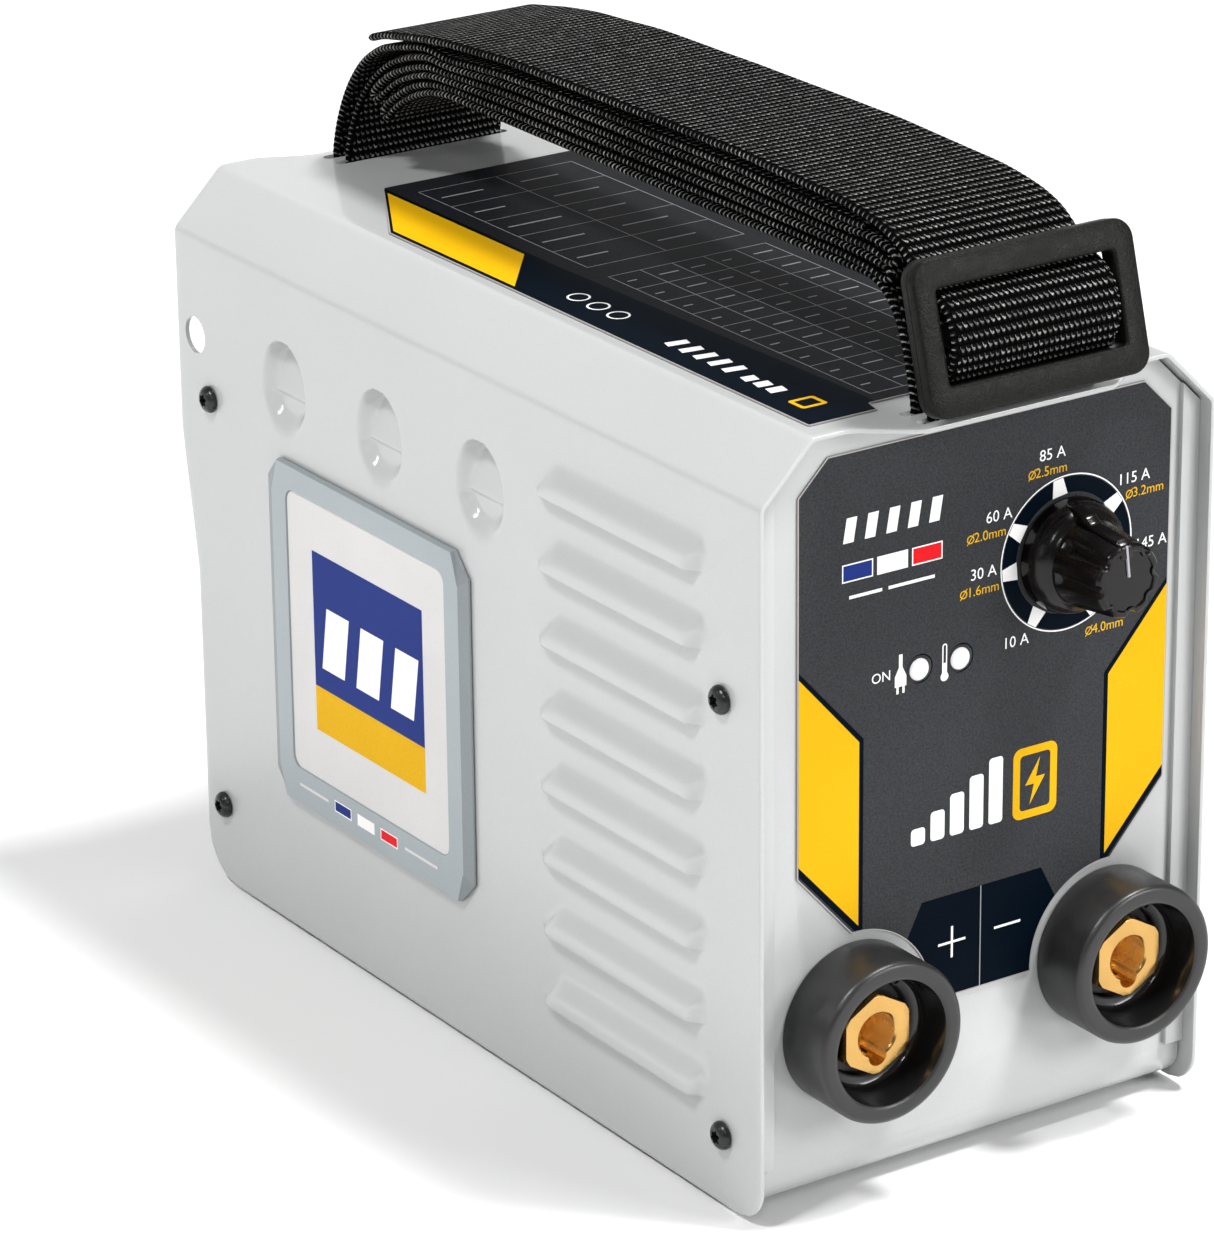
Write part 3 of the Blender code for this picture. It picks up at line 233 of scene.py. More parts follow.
# The darker grey below is painted shade: a copy of the badge grey darkened for the bevel's side facets,
# standing in for their shading.
BADGE_PAINTED_SHADE = material("badge_painted_shade", (0.22, 0.245, 0.255), 0.4, 0.2, grain=(0.05, 2600))
BADGE_FIELD = material(
    "badge_field", (0.62, 0.61, 0.605), 0.6, grain=(0.03, 2600), bumps=((2600, 1.5e-5),)
)
BOARD = material("board_green", (0.02, 0.15, 0.06), 0.45, grain=(0.2, 900), bumps=((900, 5e-5),))
ALUMINIUM = material("aluminium", (0.7, 0.7, 0.72), 0.38, 1.0, bumps=((1500, 2e-5),), rough=0.06)
FERRITE = material("ferrite", (0.05, 0.05, 0.055), 0.7, grain=(0.2, 1200), bumps=((1200, 4e-5),))
COPPER = material(
    "copper", (0.7, 0.3, 0.15), 0.35, 1.0, mottle=(0.1, 200), bumps=((1500, 4e-5),), rough=0.06
)


# Outlines


def arc(centre, radius, start, end, steps):
    turn = [math.radians(start + (end - start) * i / steps) for i in range(steps + 1)]
    return [(centre[0] + radius * math.cos(a), centre[1] + radius * math.sin(a)) for a in turn]


def circle(centre, radius, steps):
    return arc(centre, radius, 0, 360 * (steps - 1) / steps, steps - 1)


def rectangle(low, high):
    return [(low[0], low[1]), (high[0], low[1]), (high[0], high[1]), (low[0], high[1])]


def fillet(points, radii, steps=6, closed=True):
    """The outline with its corners rounded by one radius, or one for each corner."""
    count = len(points)
    if not isinstance(radii, (list, tuple)):
        radii = [radii] * count
    rounded = []
    for i, (point, radius) in enumerate(zip(points, radii)):
        if radius <= 0 or (not closed and i in (0, count - 1)):
            rounded.append(point)
            continue
        corner = Vector(point)
        back = (Vector(points[i - 1]) - corner).normalized()
        ahead = (Vector(points[(i + 1) % count]) - corner).normalized()
        half = back.angle(ahead) / 2
        if half > 1.56:
            rounded.append(point)
            continue
        middle = corner + (back + ahead).normalized() * radius / math.sin(half)
        start = corner + back * radius / math.tan(half) - middle
        swept = start.angle_signed(corner + ahead * radius / math.tan(half) - middle)
        for step in range(steps + 1):
            turned = start.copy()
            turned.rotate(Matrix.Rotation(-swept * step / steps, 2))
            rounded.append(tuple(middle + turned))
    return rounded


def offset(points, distance):
    """The open polyline moved sideways, to the right of its direction."""
    moved = []
    for i, point in enumerate(points):
        before = Vector(point) - Vector(points[i - 1]) if i else None
        after = Vector(points[i + 1]) - Vector(point) if i < len(points) - 1 else None
        first, second = (before or after).normalized(), (after or before).normalized()
        side = (Vector((first.y, -first.x)) + Vector((second.y, -second.x))).normalized()
        moved.append(tuple(Vector(point) + side * distance / side.dot(Vector((first.y, -first.x)))))
    return moved


def folded(points, radius, thickness, steps=8):
    outer = fillet(points, radius, steps, closed=False)
    return outer + fillet(offset(points, thickness), radius - thickness, steps, closed=False)[::-1]


def mirror_half(half, centre=0.0):
    """A closed outline from its right half, given from top to bottom."""
    return [(centre + x, z) for x, z in half] + [(centre - x, z) for x, z in half[::-1]]


# Solids


def on_axis(axis, across, up, along):
    return {"X": (along, across, up), "Y": (across, along, up), "Z": (across, up, along)}[axis]


def closed_up(bm):
    bmesh.ops.recalc_face_normals(bm, faces=bm.faces)
    return bm


def skin(bm, rings, looped=True):
    """Faces between each ring of vertices and the next. One vertex repeated is a ring that is a point."""
    for low, high in zip(rings, rings[1:] + rings[:1] if looped else rings[1:]):
        for j in range(len(low)):
            k = (j + 1) % len(low)
            corners = list(dict.fromkeys((low[j], low[k], high[k], high[j])))
            if len(corners) > 2:
                bm.faces.new(corners)
    return closed_up(bm)


def prism(outline, axis, low, high):
    bm = bmesh.new()
    ends = [[bm.verts.new(on_axis(axis, a, b, along)) for a, b in outline] for along in (low, high)]
    for ring in ends:
        bm.faces.new(ring)
    return skin(bm, ends, looped=False)


def box(low, high):
    return prism(rectangle(low[:2], high[:2]), "Z", low[2], high[2])


def turned(profile, axis, centre, steps=64):
    """A solid of revolution. The profile is a closed list of radius and distance along the axis."""
    bm = bmesh.new()
    rings = []
    for radius, along in profile:
        if radius == 0:
            rings.append([bm.verts.new(on_axis(axis, *centre, along))] * steps)
        else:
            rings.append([bm.verts.new(on_axis(axis, a, b, along)) for a, b in circle(centre, radius, steps)])
    return skin(bm, rings)


def rod(radius, axis, centre, low, high, steps=48):
    return turned([(0, low), (radius, low), (radius, high), (0, high)], axis, centre, steps)


def together(*shapes):
    mesh = bpy.data.meshes.new("shapes")
    whole = bmesh.new()
    for shape in shapes:
        shape.to_mesh(mesh)
        shape.free()
        whole.from_mesh(mesh)
    bpy.data.meshes.remove(mesh)
    return whole


def mirrored(bm):
    copy = bm.copy()
    bmesh.ops.scale(copy, vec=(-1, 1, 1), verts=copy.verts)
    return together(bm, closed_up(copy))


def add_object(name, data):
    obj = bpy.data.objects.new(name, data)
    bpy.context.scene.collection.objects.link(obj)
    return obj


def combine(operation, base, *others):
    """The Boolean of closed shapes."""
    pair = []
    for bm in (base, together(*others)):
        mesh = bpy.data.meshes.new("operand")
        bm.to_mesh(mesh)
        bm.free()
        pair.append(add_object("operand", mesh))
    modifier = pair[0].modifiers.new("Boolean", "BOOLEAN")
    modifier.operation, modifier.solver, modifier.object = operation, "EXACT", pair[1]
    result = bmesh.new()
    result.from_object(pair[0], bpy.context.evaluated_depsgraph_get())
    for obj in pair:
        bpy.data.meshes.remove(obj.data)
    return result


FLAT = math.radians(0.5)  # faces that turn by less than this are one face


def soften(bm, width, angle=35, segments=2):
    """Rounds the edges that turn by more than the angle."""
    bmesh.ops.remove_doubles(bm, verts=bm.verts, dist=1e-4)
    bmesh.ops.dissolve_limit(bm, angle_limit=FLAT, verts=bm.verts, edges=bm.edges)
    limit = math.radians(angle)
    sharp = [e for e in bm.edges if len(e.link_faces) == 2 and e.calc_face_angle() > limit]
    bmesh.ops.bevel(
        bm, geom=sharp, offset=width, segments=segments, profile=0.5, affect="EDGES", clamp_overlap=True
    )
    return bm


def tint(bm, index_of):
    """Gives each face the material index that is worked out from its middle and the face itself."""
    for face in bm.faces:
        face.material_index = int(index_of(face.calc_center_median(), face))


def piece(name, bm, materials, nodes=(), body="case", smooth=35):
    mesh = bpy.data.meshes.new(name)
    bm.to_mesh(mesh)
    bm.free()
    mesh.transform(TO_WORLD)
    mesh.shade_smooth()
    mesh.set_sharp_from_angle(angle=math.radians(smooth))
    for made in materials if isinstance(materials, (list, tuple)) else [materials]:
        mesh.materials.append(made)
    obj = add_object(name, mesh)
    if nodes:
        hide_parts(*nodes)
    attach(obj, body)
    return obj


# Cover


LOUVRE_LIPS = [139.2 - 16.6 * i for i in range(8)]
LOUVRE_DEPTH, LOUVRE_HEIGHT = 2.8, 8.2
DENTS = [(y, 131.5) for y in (102.5, 142.8, 183.1)]
DENT_SIZE, DENT_DEPTH = (9.1, 11.5), 4.0
LIP_WIDTHS = (24.0, 35.7)  # half widths of the front lip and the rear notch, at tip and at root


def rise(value):
    """From 0 to 1 with soft ends."""
    value = min(1.0, max(0.0, value))
    return value * value * (3 - 2 * value)


def pressed(y, z):
    """How far the pressings push a side wall outward at a point."""
    out = 0.0
    for lip in LOUVRE_LIPS:
        up = z - lip
        if 0 < up < LOUVRE_HEIGHT + 1 and 17 < y < 82:
            top = (LOUVRE_HEIGHT + 0.4 - up) / 6.1
            rear = (80.6 - y - 1.1 * max(0.0, up - 1)) / 5.2
            front = (y - 18.2 - 0.35 * abs(up - 4.5)) / 3.8
            corner = 1 / (max(top, 1e-3) ** -4 + max(rear, 1e-3) ** -4 + max(front, 1e-3) ** -4) ** 0.25
            out = LOUVRE_DEPTH * rise(corner) * (1 - 0.1 * rise(1 - up / 0.5))
    for centre_y, centre_z in DENTS:
        a, b = (y - centre_y) / DENT_SIZE[0], (z - centre_z) / DENT_SIZE[1]
        edge = 1.03 - math.hypot(a, b)
        if edge > 0:
            if b > -0.08:
                floor = 0.5 + 0.5 * min(1.0, (b + 0.08) / 0.8)
            else:
                floor = 0.5 + 0.14 * rise((-0.08 - b) / 0.1)
            rim = 0.14 + 0.2 * rise((0.9 - b) / 0.6) + 0.42 * rise((-b - 0.05) / 0.8)
            out -= DENT_DEPTH * floor * rise(edge / rim)
    return out


def spread(low, high, step):
    count = max(1, round((high - low) / step))
    return [low + (high - low) * i / count for i in range(count + 1)]


def wall_heights():
    """The rows of a side wall from its lower edge to the bend."""
    rows = spread(BASE, 9, 0.8) + spread(9, 156, 4.2)
    for lip in LOUVRE_LIPS:
        rows = [z for z in rows if not lip - 1.4 < z < lip + 9.4]
        rows += [
            lip + up
            for up in (-1, -0.02, 0.02, 0.3, 0.7, 1.4, 2.2, 3.1, 4.0, 4.9, 5.7, 6.4, 7.1, 7.8, 8.7)
        ]
    dents = [z for z in spread(119, 144, 0.45) if all(abs(z - row) > 0.2 for row in rows)]
    return sorted(set(rows + dents))


def columns():
    cuts = spread(0, 12, 1.5) + spread(17, 25, 0.8) + spread(29, 63, 8.5) + spread(66, 83, 1.2)
    for centre, _ in DENTS:
        cuts += spread(centre - 10, centre + 10, 0.5)
    return sorted(set(cuts + [15, 88] + spread(197, LENGTH, 2.2)))


def corner_inset(z, radius):
    """How far a rounded lower corner cuts in at height z."""
    down = radius - (z - BASE)
    return radius - math.sqrt(max(0.0, radius * radius - down * down)) if down > 0 else 0.0


def tongue(x):
    """1 over the middle of the top sheet, falling to 0 at the roots of the lip and the notch."""
    values = [
        (LIP_WIDTHS[1] - abs(x + shift)) / (LIP_WIDTHS[1] - LIP_WIDTHS[0])
        for shift in (-1.5, -0.75, 0, 0.75, 1.5)
    ]
    return sum(min(1.0, max(0.0, v)) for v in values) / len(values)


def section_rows():
    """(x, z, outward normal, kind) along the cover's section, from the lower left edge over the top."""
    corners = [(-HALF, BASE), (-HALF, TOP - CHAMFER), (CHAMFER - HALF, TOP), (0, TOP)]
    outline = fillet(corners, 2.8, 5, closed=False)
    bend_start = outline[1]
    rows = [((-HALF, z), "wall") for z in wall_heights() if z < bend_start[1] - 0.5]
    rows += [(point, "bend") for point in outline[1:-1]]
    last = outline[-2][0]
    places = (-42, -39, -37.2, -35.7, -34, -32, -30, -28, -26, -25, -24, -23, -21, -14, -7, 0)
    flat = [x for x in places if x > last + 0.5]
    rows += [((x, TOP), "top") for x in flat]
    half = []
    for i, (point, kind) in enumerate(rows):
        before, after = rows[max(0, i - 1)][0], rows[min(len(rows) - 1, i + 1)][0]
        along = (Vector(after) - Vector(before)).normalized()
        if kind != "bend":
            along = Vector((0, 1)) if kind == "wall" else Vector((1, 0))
        half.append((Vector(point), Vector((-along.y, along.x)), kind))
    other = [(Vector((-p.x, p.y)), Vector((-n.x, n.y)), kind) for p, n, kind in half[-2::-1]]
    return half + other


def cover_mesh():
    bm = bmesh.new()
    rows, cuts = section_rows(), columns()
    skins = ([], [])
    heights = []
    for point, normal, kind in rows:
        front = rear = 0.0
        end = LENGTH
        if kind == "wall":
            front = corner_inset(point.y, 8.0)
            slope = min(1.0, max(0.0, (point.y - 76) / 35))
            soft = (rise(slope) + slope * 3) / 4
            end = LOWER_LENGTH + (LENGTH - LOWER_LENGTH) * soft - corner_inset(point.y, 12.0)
        elif kind == "top":
            front = -LIP_DEPTH * tongue(point.x)
            end = LENGTH - 5.4 * tongue(point.x)
        line, risen = ([], []), []
        for cut in cuts:
            y = cut
            if cut < 12:
                y = front + (12 - front) * cut / 12
            elif cut > 197:
                y = 197 + (end - 197) * (cut - 197) / (LENGTH - 197)
            push = pressed(y, point.y) if kind == "wall" else 0.0
            risen.append(push)
            for skin, depth in zip(line, (0.0, SHEET)):
                spot = point + normal * (push - depth)
                skin.append(bm.verts.new((spot.x, y, spot.y)))
        heights.append(risen)
        for skin, made in zip(skins, line):
            skin.append(made)

    def present(i, j):
        if not (0 <= i < len(rows) - 1 and 0 <= j < len(cuts) - 1):
            return False
        if rows[i][2] != "wall" or abs(rows[i + 1][0].y - rows[i][0].y) > 0.1:
            return True
        return max(abs(heights[i + 1][k] - heights[i][k]) for k in (j, j + 1)) < 0.4

    rim = []
    for i in range(len(rows) - 1):
        for j in range(len(cuts) - 1):
            if not present(i, j):
                continue
            for skin, way in zip(skins, (1, -1)):
                bm.faces.new([skin[i][j], skin[i][j + 1], skin[i + 1][j + 1], skin[i + 1][j]][::way])
            for (a, b), (k, m) in (
                (((i, j), (i, j + 1)), (i - 1, j)),
                (((i + 1, j), (i + 1, j + 1)), (i + 1, j)),
                (((i, j), (i + 1, j)), (i, j - 1)),
                (((i, j + 1), (i + 1, j + 1)), (i, j + 1)),
            ):
                if not present(k, m):
                    outer, inner = skins
                    bm.faces.new([outer[a[0]][a[1]], outer[b[0]][b[1]], inner[b[0]][b[1]], inner[a[0]][a[1]]])
                    if not (0 <= k < len(rows) - 1 and 0 <= m < len(cuts) - 1):
                        rim += [
                            (outer[a[0]][a[1]], outer[b[0]][b[1]]),
                            (inner[a[0]][a[1]], inner[b[0]][b[1]])
                        ]
    closed_up(bm)
    edges = [e for e in (bm.edges.get(pair) for pair in rim) if e]
    bmesh.ops.bevel(
        bm, geom=edges, offset=0.22, segments=2, profile=0.5, affect="EDGES", clamp_overlap=False
    )
    return bm


def make_cover():
    bm = cover_mesh()
    slots = []
    for centre in (215.2, 220.5, -4.8, 0.6):
        outline = fillet(rectangle((-23, centre - 1.3), (23, centre + 1.3)), 1.29, 6)
        slots.append(prism(outline, "Z", TOP - 3, TOP + 3))
    holes = []
    for side in (-1, 1):
        ends = sorted((side * (HALF - 3), side * (HALF + 3)))
        holes.append(rod(4.35, "X", CORD_HOLE, *ends))
        holes += [rod(1.8, "X", place, *ends, 16) for place in SCREWS]
    bm = combine("DIFFERENCE", bm, *slots, *holes)
    piece("fine_cover", bm, POWDER, ["cover"], smooth=42)


# Chassis


def make_chassis():
    """Front panel, floor and rear panel folded from one sheet, with bent side edges."""
    panel_top = TOP - SHEET - 0.5
    fold = [(PANEL_Y, panel_top), (PANEL_Y, 2.3), (REAR_Y, 2.3), (REAR_Y, panel_top)]
    sheet = prism(folded(fold[::-1], 6, PANEL_SHEET, 10), "X", -PANEL_HALF, PANEL_HALF)
    room = [box((x, -5, 10.6), (x + 10, 9, 180)) for x in (-PANEL_HALF - 6.6, PANEL_HALF - 3.4)]
    sheet = combine("DIFFERENCE", sheet, *room)
    bend = [(-PANEL_HALF + 4.4, PANEL_Y), (-PANEL_HALF, PANEL_Y), (-PANEL_HALF, 18)]
    flange = prism(folded(bend[::-1], 2.6, PANEL_SHEET, 8), "Z", 11.4, panel_top)
    rear = box((-PANEL_HALF, REAR_Y - 0.6, 8), (PANEL_SHEET - PANEL_HALF, 221, 127))
    sheet = combine("UNION", sheet, mirrored(flange), mirrored(rear))

    shoulder = panel_top - CHAMFER + 0.8
    peak = PANEL_HALF - (panel_top - shoulder)
    trim = [(PANEL_HALF + 5, -5), (PANEL_HALF + 5, shoulder - 5), (peak - 5, panel_top + 5)]
    sheet = combine("INTERSECT", sheet, prism(mirror_half(trim), "Y", -20, 250))

    front, back = (PANEL_Y - 5, PANEL_Y + 5), (REAR_Y - 5, REAR_Y + 5)
    holes = [rod(12.3, "Y", (x, SOCKET_Z), *front) for x in SOCKETS.values()]
    holes.append(rod(3.8, "Y", DIAL, *front))
    holes += [rod(2.8, "Y", (x, LAMP_Z), *front) for x in LAMPS.values()]
    holes.append(rod(37.5, "Y", (0, 64), *back, 96))
    holes += [rod(2.3, "Y", (x, 64 + z), *back, 24) for x in (-35.75, 35.75) for z in (-35.75, 35.75)]
    holes.append(rod(8.3, "Y", (28, 134), *back))
    holes.append(box((-36.5, back[0], 120), (-17.5, back[1], 148)))
    holes += [rod(2.5, "Z", (x, y), 0, 6, 24) for x in (-42, 42) for y in (24, 192)]
    sheet = combine("DIFFERENCE", sheet, *holes)
    piece("fine_chassis", soften(sheet, 0.2), POWDER, ["chassis"])


# Printed faces


class Print:
    """Flat inks of several colours on one printed face, across an axis and looking one way along it."""

    def __init__(self, axis, face, way):
        self.bm, self.axis, self.face, self.way, self.inks = bmesh.new(), axis, face, way, []

    def spot(self, a, b, level):
        return self.bm.verts.new(on_axis(self.axis, a, b, self.face + self.way * INK_STEP * level))

    def lay(self, made, corners):
        face = self.bm.faces.new(corners)
        face.normal_update()
        if face.normal.dot(Vector(on_axis(self.axis, 0, 0, self.way))) < 0:
            face.normal_flip()
        if made not in self.inks:
            self.inks.append(made)
        face.material_index = self.inks.index(made)

    def area(self, made, outline, level=1):
        self.lay(made, [self.spot(a, b, level) for a, b in outline])

    def ring(self, made, outer, inner, level=1):
        """The band between two outlines with as many points each."""
        for i in range(len(outer)):
            j = (i + 1) % len(outer)
            self.area(made, (outer[i], outer[j], inner[j], inner[i]), level)

    def line(self, made, points, width, level=1):
        for start, end in zip(points, points[1:]):
            along = (Vector(end) - Vector(start)).normalized() * width / 2
            side = Vector((-along.y, along.x))
            a, b = Vector(start) - along, Vector(end) + along
            self.area(made, [tuple(p) for p in (a + side, b + side, b - side, a - side)], level)

    def text(self, made, words, size, place):
        curve = bpy.data.curves.new("words", "FONT")
        curve.body, curve.size, curve.resolution_u = words, size, 3
        curve.align_x = curve.align_y = "CENTER"
        obj = add_object("words", curve)
        mesh = bpy.data.meshes.new_from_object(obj.evaluated_get(bpy.context.evaluated_depsgraph_get()))
        spots = [self.spot(place[0] + v.co.x, place[1] + v.co.y, 1) for v in mesh.vertices]
        for polygon in mesh.polygons:
            corners = list(dict.fromkeys(spots[i] for i in polygon.vertices))
            if len(corners) > 2:
                self.lay(made, corners)
        bpy.data.objects.remove(obj)
        bpy.data.curves.remove(curve)
        bpy.data.meshes.remove(mesh)

    def done(self, name):
        piece(name, self.bm, self.inks)


def label_plate(name, outline, axis, low, high, cutters, node):
    """A film label with a pale cut edge and a dark printed face."""
    bm = prism(outline, axis, low, high)
    if cutters:
        bm = combine("DIFFERENCE", bm, *cutters)
    outward = Vector((0, -1, 0)) if axis == "Y" else Vector((0, 0, 1))
    bm.normal_update()
    bmesh.ops.dissolve_limit(bm, angle_limit=FLAT, verts=bm.verts, edges=bm.edges)
    face = [f for f in bm.faces if f.normal.dot(outward) > 0.99]
    tint(bm, lambda spot, f: 1)
    bmesh.ops.inset_region(bm, faces=face, thickness=0.28, use_even_offset=True)
    for f in face:
        f.material_index = 0
    # The top label takes the darker painted-shade copy of the label ink.
    piece(name, bm, [LABEL if axis == "Y" else TOP_LABEL_SHADED, LABEL_EDGE], [node])


def dial_point(radius, clockwise):
    a = math.radians(clockwise)
    return (DIAL[0] + radius * math.sin(a), DIAL[1] + radius * math.cos(a))


CURRENTS = (("10 A", 9.6, 114.1), ("30 A", 1.0, 131.0), ("60 A", 4.8, 142.6), ("85 A", 18.3, 153.1))
CURRENTS += (("115 A", 39.7, 143.6), ("145 A", 44.6, 128.4))
ELECTRODES = (("1.6", -0.1, 127.4), ("2.0", 1.5, 139.0), ("2.5", 17.0, 149.6), ("3.2", 42.5, 140.2))
ELECTRODES += (("4.0", 32.6, 112.2),)
DIAL_MARKS = (-148, -95.5, -60.5, -8.7, 55.5, 100, 152.5)  # degrees clockwise from the top


def print_dial(face):
    white, navy = (17.05, 16.75), (16.5, 13.1)
    for made, radii in ((WHITE, white), (NAVY, navy)):
        face.ring(made, *(circle(DIAL, radius, 120) for radius in radii))
    inner, outer = math.degrees(1.95 / 13.0), math.degrees(1.25 / 16.6)
    for mark in DIAL_MARKS:
        corners = ((13.0, -inner), (16.65, -outer), (16.65, outer), (13.0, inner))
        face.area(WHITE, [dial_point(r, mark + a) for r, a in corners], 2)
    for words, x, z in CURRENTS:
        face.text(WHITE, words, 3.5, (x, z))
    for words, x, z in ELECTRODES:
        face.text(YELLOW, words + "mm", 3.0, (x + 1.1, z))
        face.ring(YELLOW, *(circle((x - 3.9, z - 0.05), radius, 12) for radius in (0.95, 0.68)))
        face.line(YELLOW, [(x - 4.7, z - 1.1), (x - 3.1, z + 1.0)], 0.22, 2)


def print_icons(face):
    x = -19.8
    plug = [(0.45, 118), (0.45, 115.2), (1.45, 113.2), (1.45, 111)]
    face.area(WHITE, mirror_half(plug, x))
    for side in (-0.75, 0.75):
        face.area(WHITE, rectangle((x + side - 0.27, 109.5), (x + side + 0.27, 111)))
    x = -8.65
    tube = arc((x, 117.2), 0.62, 180, 0, 8) + arc((x, 110.6), 1.0, 52, -232, 20)
    face.area(WHITE, tube)
    face.area(LABEL, arc((x, 117.2), 0.32, 180, 0, 6) + [(x + 0.32, 113.6), (x - 0.32, 113.6)], 2)
    face.text(WHITE, "ON", 3.1, (-24.7, 114.0))
    for x in LAMPS.values():
        face.ring(NAVY, circle((x, LAMP_Z), 3.2, 36), circle((x, LAMP_Z), 2.82, 36))


def print_bars(face, starts, heights, width):
    """A row of one blue, one white and one red bar with white edges."""
    for made, start in zip((BLUE, WHITE, RED), starts):
        face.area(WHITE, rectangle((start, heights[0]), (start + width, heights[1])))
        inner = rectangle((start + 0.3, heights[0] + 0.3), (start + width - 0.3, heights[1] - 0.3))
        face.area(made, inner, 2)


def print_marks(face):
    """Plain bars and a bolt where a maker would put words."""
    for i in range(5):
        x = -33.9 + 5.35 * i
        face.area(WHITE, [(x - 0.5, 144.9), (x + 2.1, 144.9), (x + 3.0, 150.2), (x + 0.4, 150.2)])
    print_bars(face, (-34.6, -25.9, -17.2), (136.5, 140.4), 7.7)
    for x0, x1 in ((-32.8, -24.6), (-23.0, -11.4)):
        face.area(WHITE, rectangle((x0, 132.8), (x1, 133.5)))
    for i in range(5):
        x = -16.8 + 5.0 * i
        face.area(WHITE, fillet(rectangle((x, 74.7), (x + 3.6, 78.5 + 2.75 * i)), 0.8, 4))
    outer = fillet(rectangle((9.5, 73.8), (21.0, 89.8)), 2.0, 5)
    inner = fillet(rectangle((11.3, 75.6), (19.2, 88.0)), 0.9, 5)
    face.ring(YELLOW, outer, inner)
    bolt = [(16.5, 87.0), (12.7, 81.2), (15.0, 81.2), (13.9, 76.7), (17.9, 82.7), (15.5, 82.7)]
    face.area(YELLOW, bolt)


def print_front():
    face = Print("Y", PANEL_Y - FILM, -1)
    for side in (-1, 1):
        navy = [(47.2, 119.7), (31.0, 101.8), (31.0, 59.5), (32.9, 59.5), (47.2, 75.3)]
        gold = [(47.2, 118.2), (32.1, 101.3), (32.1, 60.6), (47.2, 77.3)]
        face.area(NAVY, [(CENTRE + side * a, b) for a, b in navy])
        face.area(YELLOW, [(CENTRE + side * a, b) for a, b in gold], 2)
    clear = 20.1
    low = 38.68

    def reach(z):
        return math.sqrt(clear * clear - (z - SOCKET_Z) ** 2)

    heights = spread(low, 54.2, 1.3)
    field = [(SOCKETS["positive"] + reach(z), z) for z in heights] + [(-13.8, 61.5), (17.3, 61.6)]
    field += [(SOCKETS["negative"] - reach(z), z) for z in heights[::-1]]
    face.area(NAVY, field)
    face.area(PALE, rectangle((1.35, low), (1.6, 61.5)), 2)
    face.area(WHITE, rectangle((-9.5, 50.35), (-2.4, 50.9)), 2)
    face.area(WHITE, rectangle((-6.2, 47.1), (-5.65, 54.2)), 3)
    face.area(WHITE, rectangle((5.1, 50.6), (12.0, 51.15)), 2)
    print_dial(face)
    print_icons(face)
    print_marks(face)
    face.done("front_print")


def make_front_label():
    back, front = PANEL_Y - 0.1, PANEL_Y - FILM
    half = [(40.2, 164.1), (47.5, 156.8), (47.5, 74.6), (33, 58.4), (33, 38.4)]
    cutters = [rod(19.8, "Y", (x, SOCKET_Z), 0, 8, 128) for x in SOCKETS.values()]
    cutters.append(rod(3.8, "Y", DIAL, 0, 8))
    cutters += [rod(2.8, "Y", (x, LAMP_Z), 0, 8) for x in LAMPS.values()]
    outline = fillet(mirror_half(half, CENTRE), 0.8, 3)
    label_plate("fine_front_label", outline, "Y", front, back, cutters, "front_label")
    print_front()


def print_top():
    face = Print("Z", TOP + FILM, 1)
    for side in (-1, 1):
        navy = [
            (25.2, 191.0), (41.5, 161.7), (41.5, 5.9), (25.3, 5.9), (24.4, 9.9), (22.3, 9.9), (25.2, 120)
        ]
        gold = [(26.4, 187.6), (26.4, 131.7), (40.4, 114.0), (40.4, 162.6)]
        face.area(NAVY, [(side * a, b) for a, b in navy])
        face.area(YELLOW, [(side * a, b) for a, b in gold], 2)
    fine = 0.22
    for y0, y1, cuts, across in ((14, 108, 9, 5), (116, 184, 5, 2)):
        x0, x1 = -20.5, 20.5
        for i in range(cuts + 1):
            y = y0 + (y1 - y0) * i / cuts
            face.line(PALE, [(x0, y), (x1, y)], fine)
        for i in range(across + 1):
            x = x0 + (x1 - x0) * i / across
            face.line(PALE, [(x, y0), (x, y1)], fine)
    for i in range(9):
        for j in range(5):
            x, y = -19.0 + 8.2 * j, 19.4 + 10.44 * i
            face.area(PALE, rectangle((x, y - 0.25), (x + 2.4 + 1.3 * ((3 * i + 5 * j) % 3), y + 0.25)))
    for i in range(5):
        for x, length in ((-18.5, 8 + 3 * (i % 3)), (2.5, 10 + 2 * (i % 2))):
            y = 123 + 13.6 * i
            face.area(PALE, rectangle((x, y - 0.3), (x + length, y + 0.3)))
    for i in range(5):
        y = 62 - 5.1 * i
        face.area(WHITE, [(-36.6, y), (-36.0, y + 2.4), (-31.0, y + 1.6), (-31.6, y - 0.8)], 2)
    for i, length in enumerate((2.6, 3.4, 4.2)):
        y, end = 34.5 - 4.4 * i, 0.9 * length / 2 - 34.0
        face.area(WHITE, [(-36.6, y), (-36.0, y + 2.9), (end, y + 2.5), (end - 0.6, y - 0.4)], 2)
    outer = fillet(rectangle((-37.0, 14.2), (-30.6, 19.8)), 0.8, 3)
    face.ring(YELLOW, outer, fillet(rectangle((-36.0, 15.2), (-31.6, 18.8)), 0.4, 3), 2)
    for i in range(3):
        y = 100 - 7.5 * i
        face.ring(WHITE, circle((-33.4, y), 2.6, 24), circle((-33.4, y), 2.1, 24), 2)
    face.done("top_print")


def make_top_label():
    half = [(15, 9.6), (24, 9.6), (25, 5.6), (41.8, 5.6), (41.8, 162), (25, 191.6)]
    outline = fillet([(-x, y) for x, y in half] + half[::-1], 0.5, 3)
    label_plate("fine_top_label", outline, "Z", TOP + 0.1, TOP + FILM, (), "top_label")
    print_top()


BADGE_BACK = -HALF - 0.3
BADGE_FIELD_X, BADGE_FACE = BADGE_BACK - 1.15, BADGE_BACK - 1.5


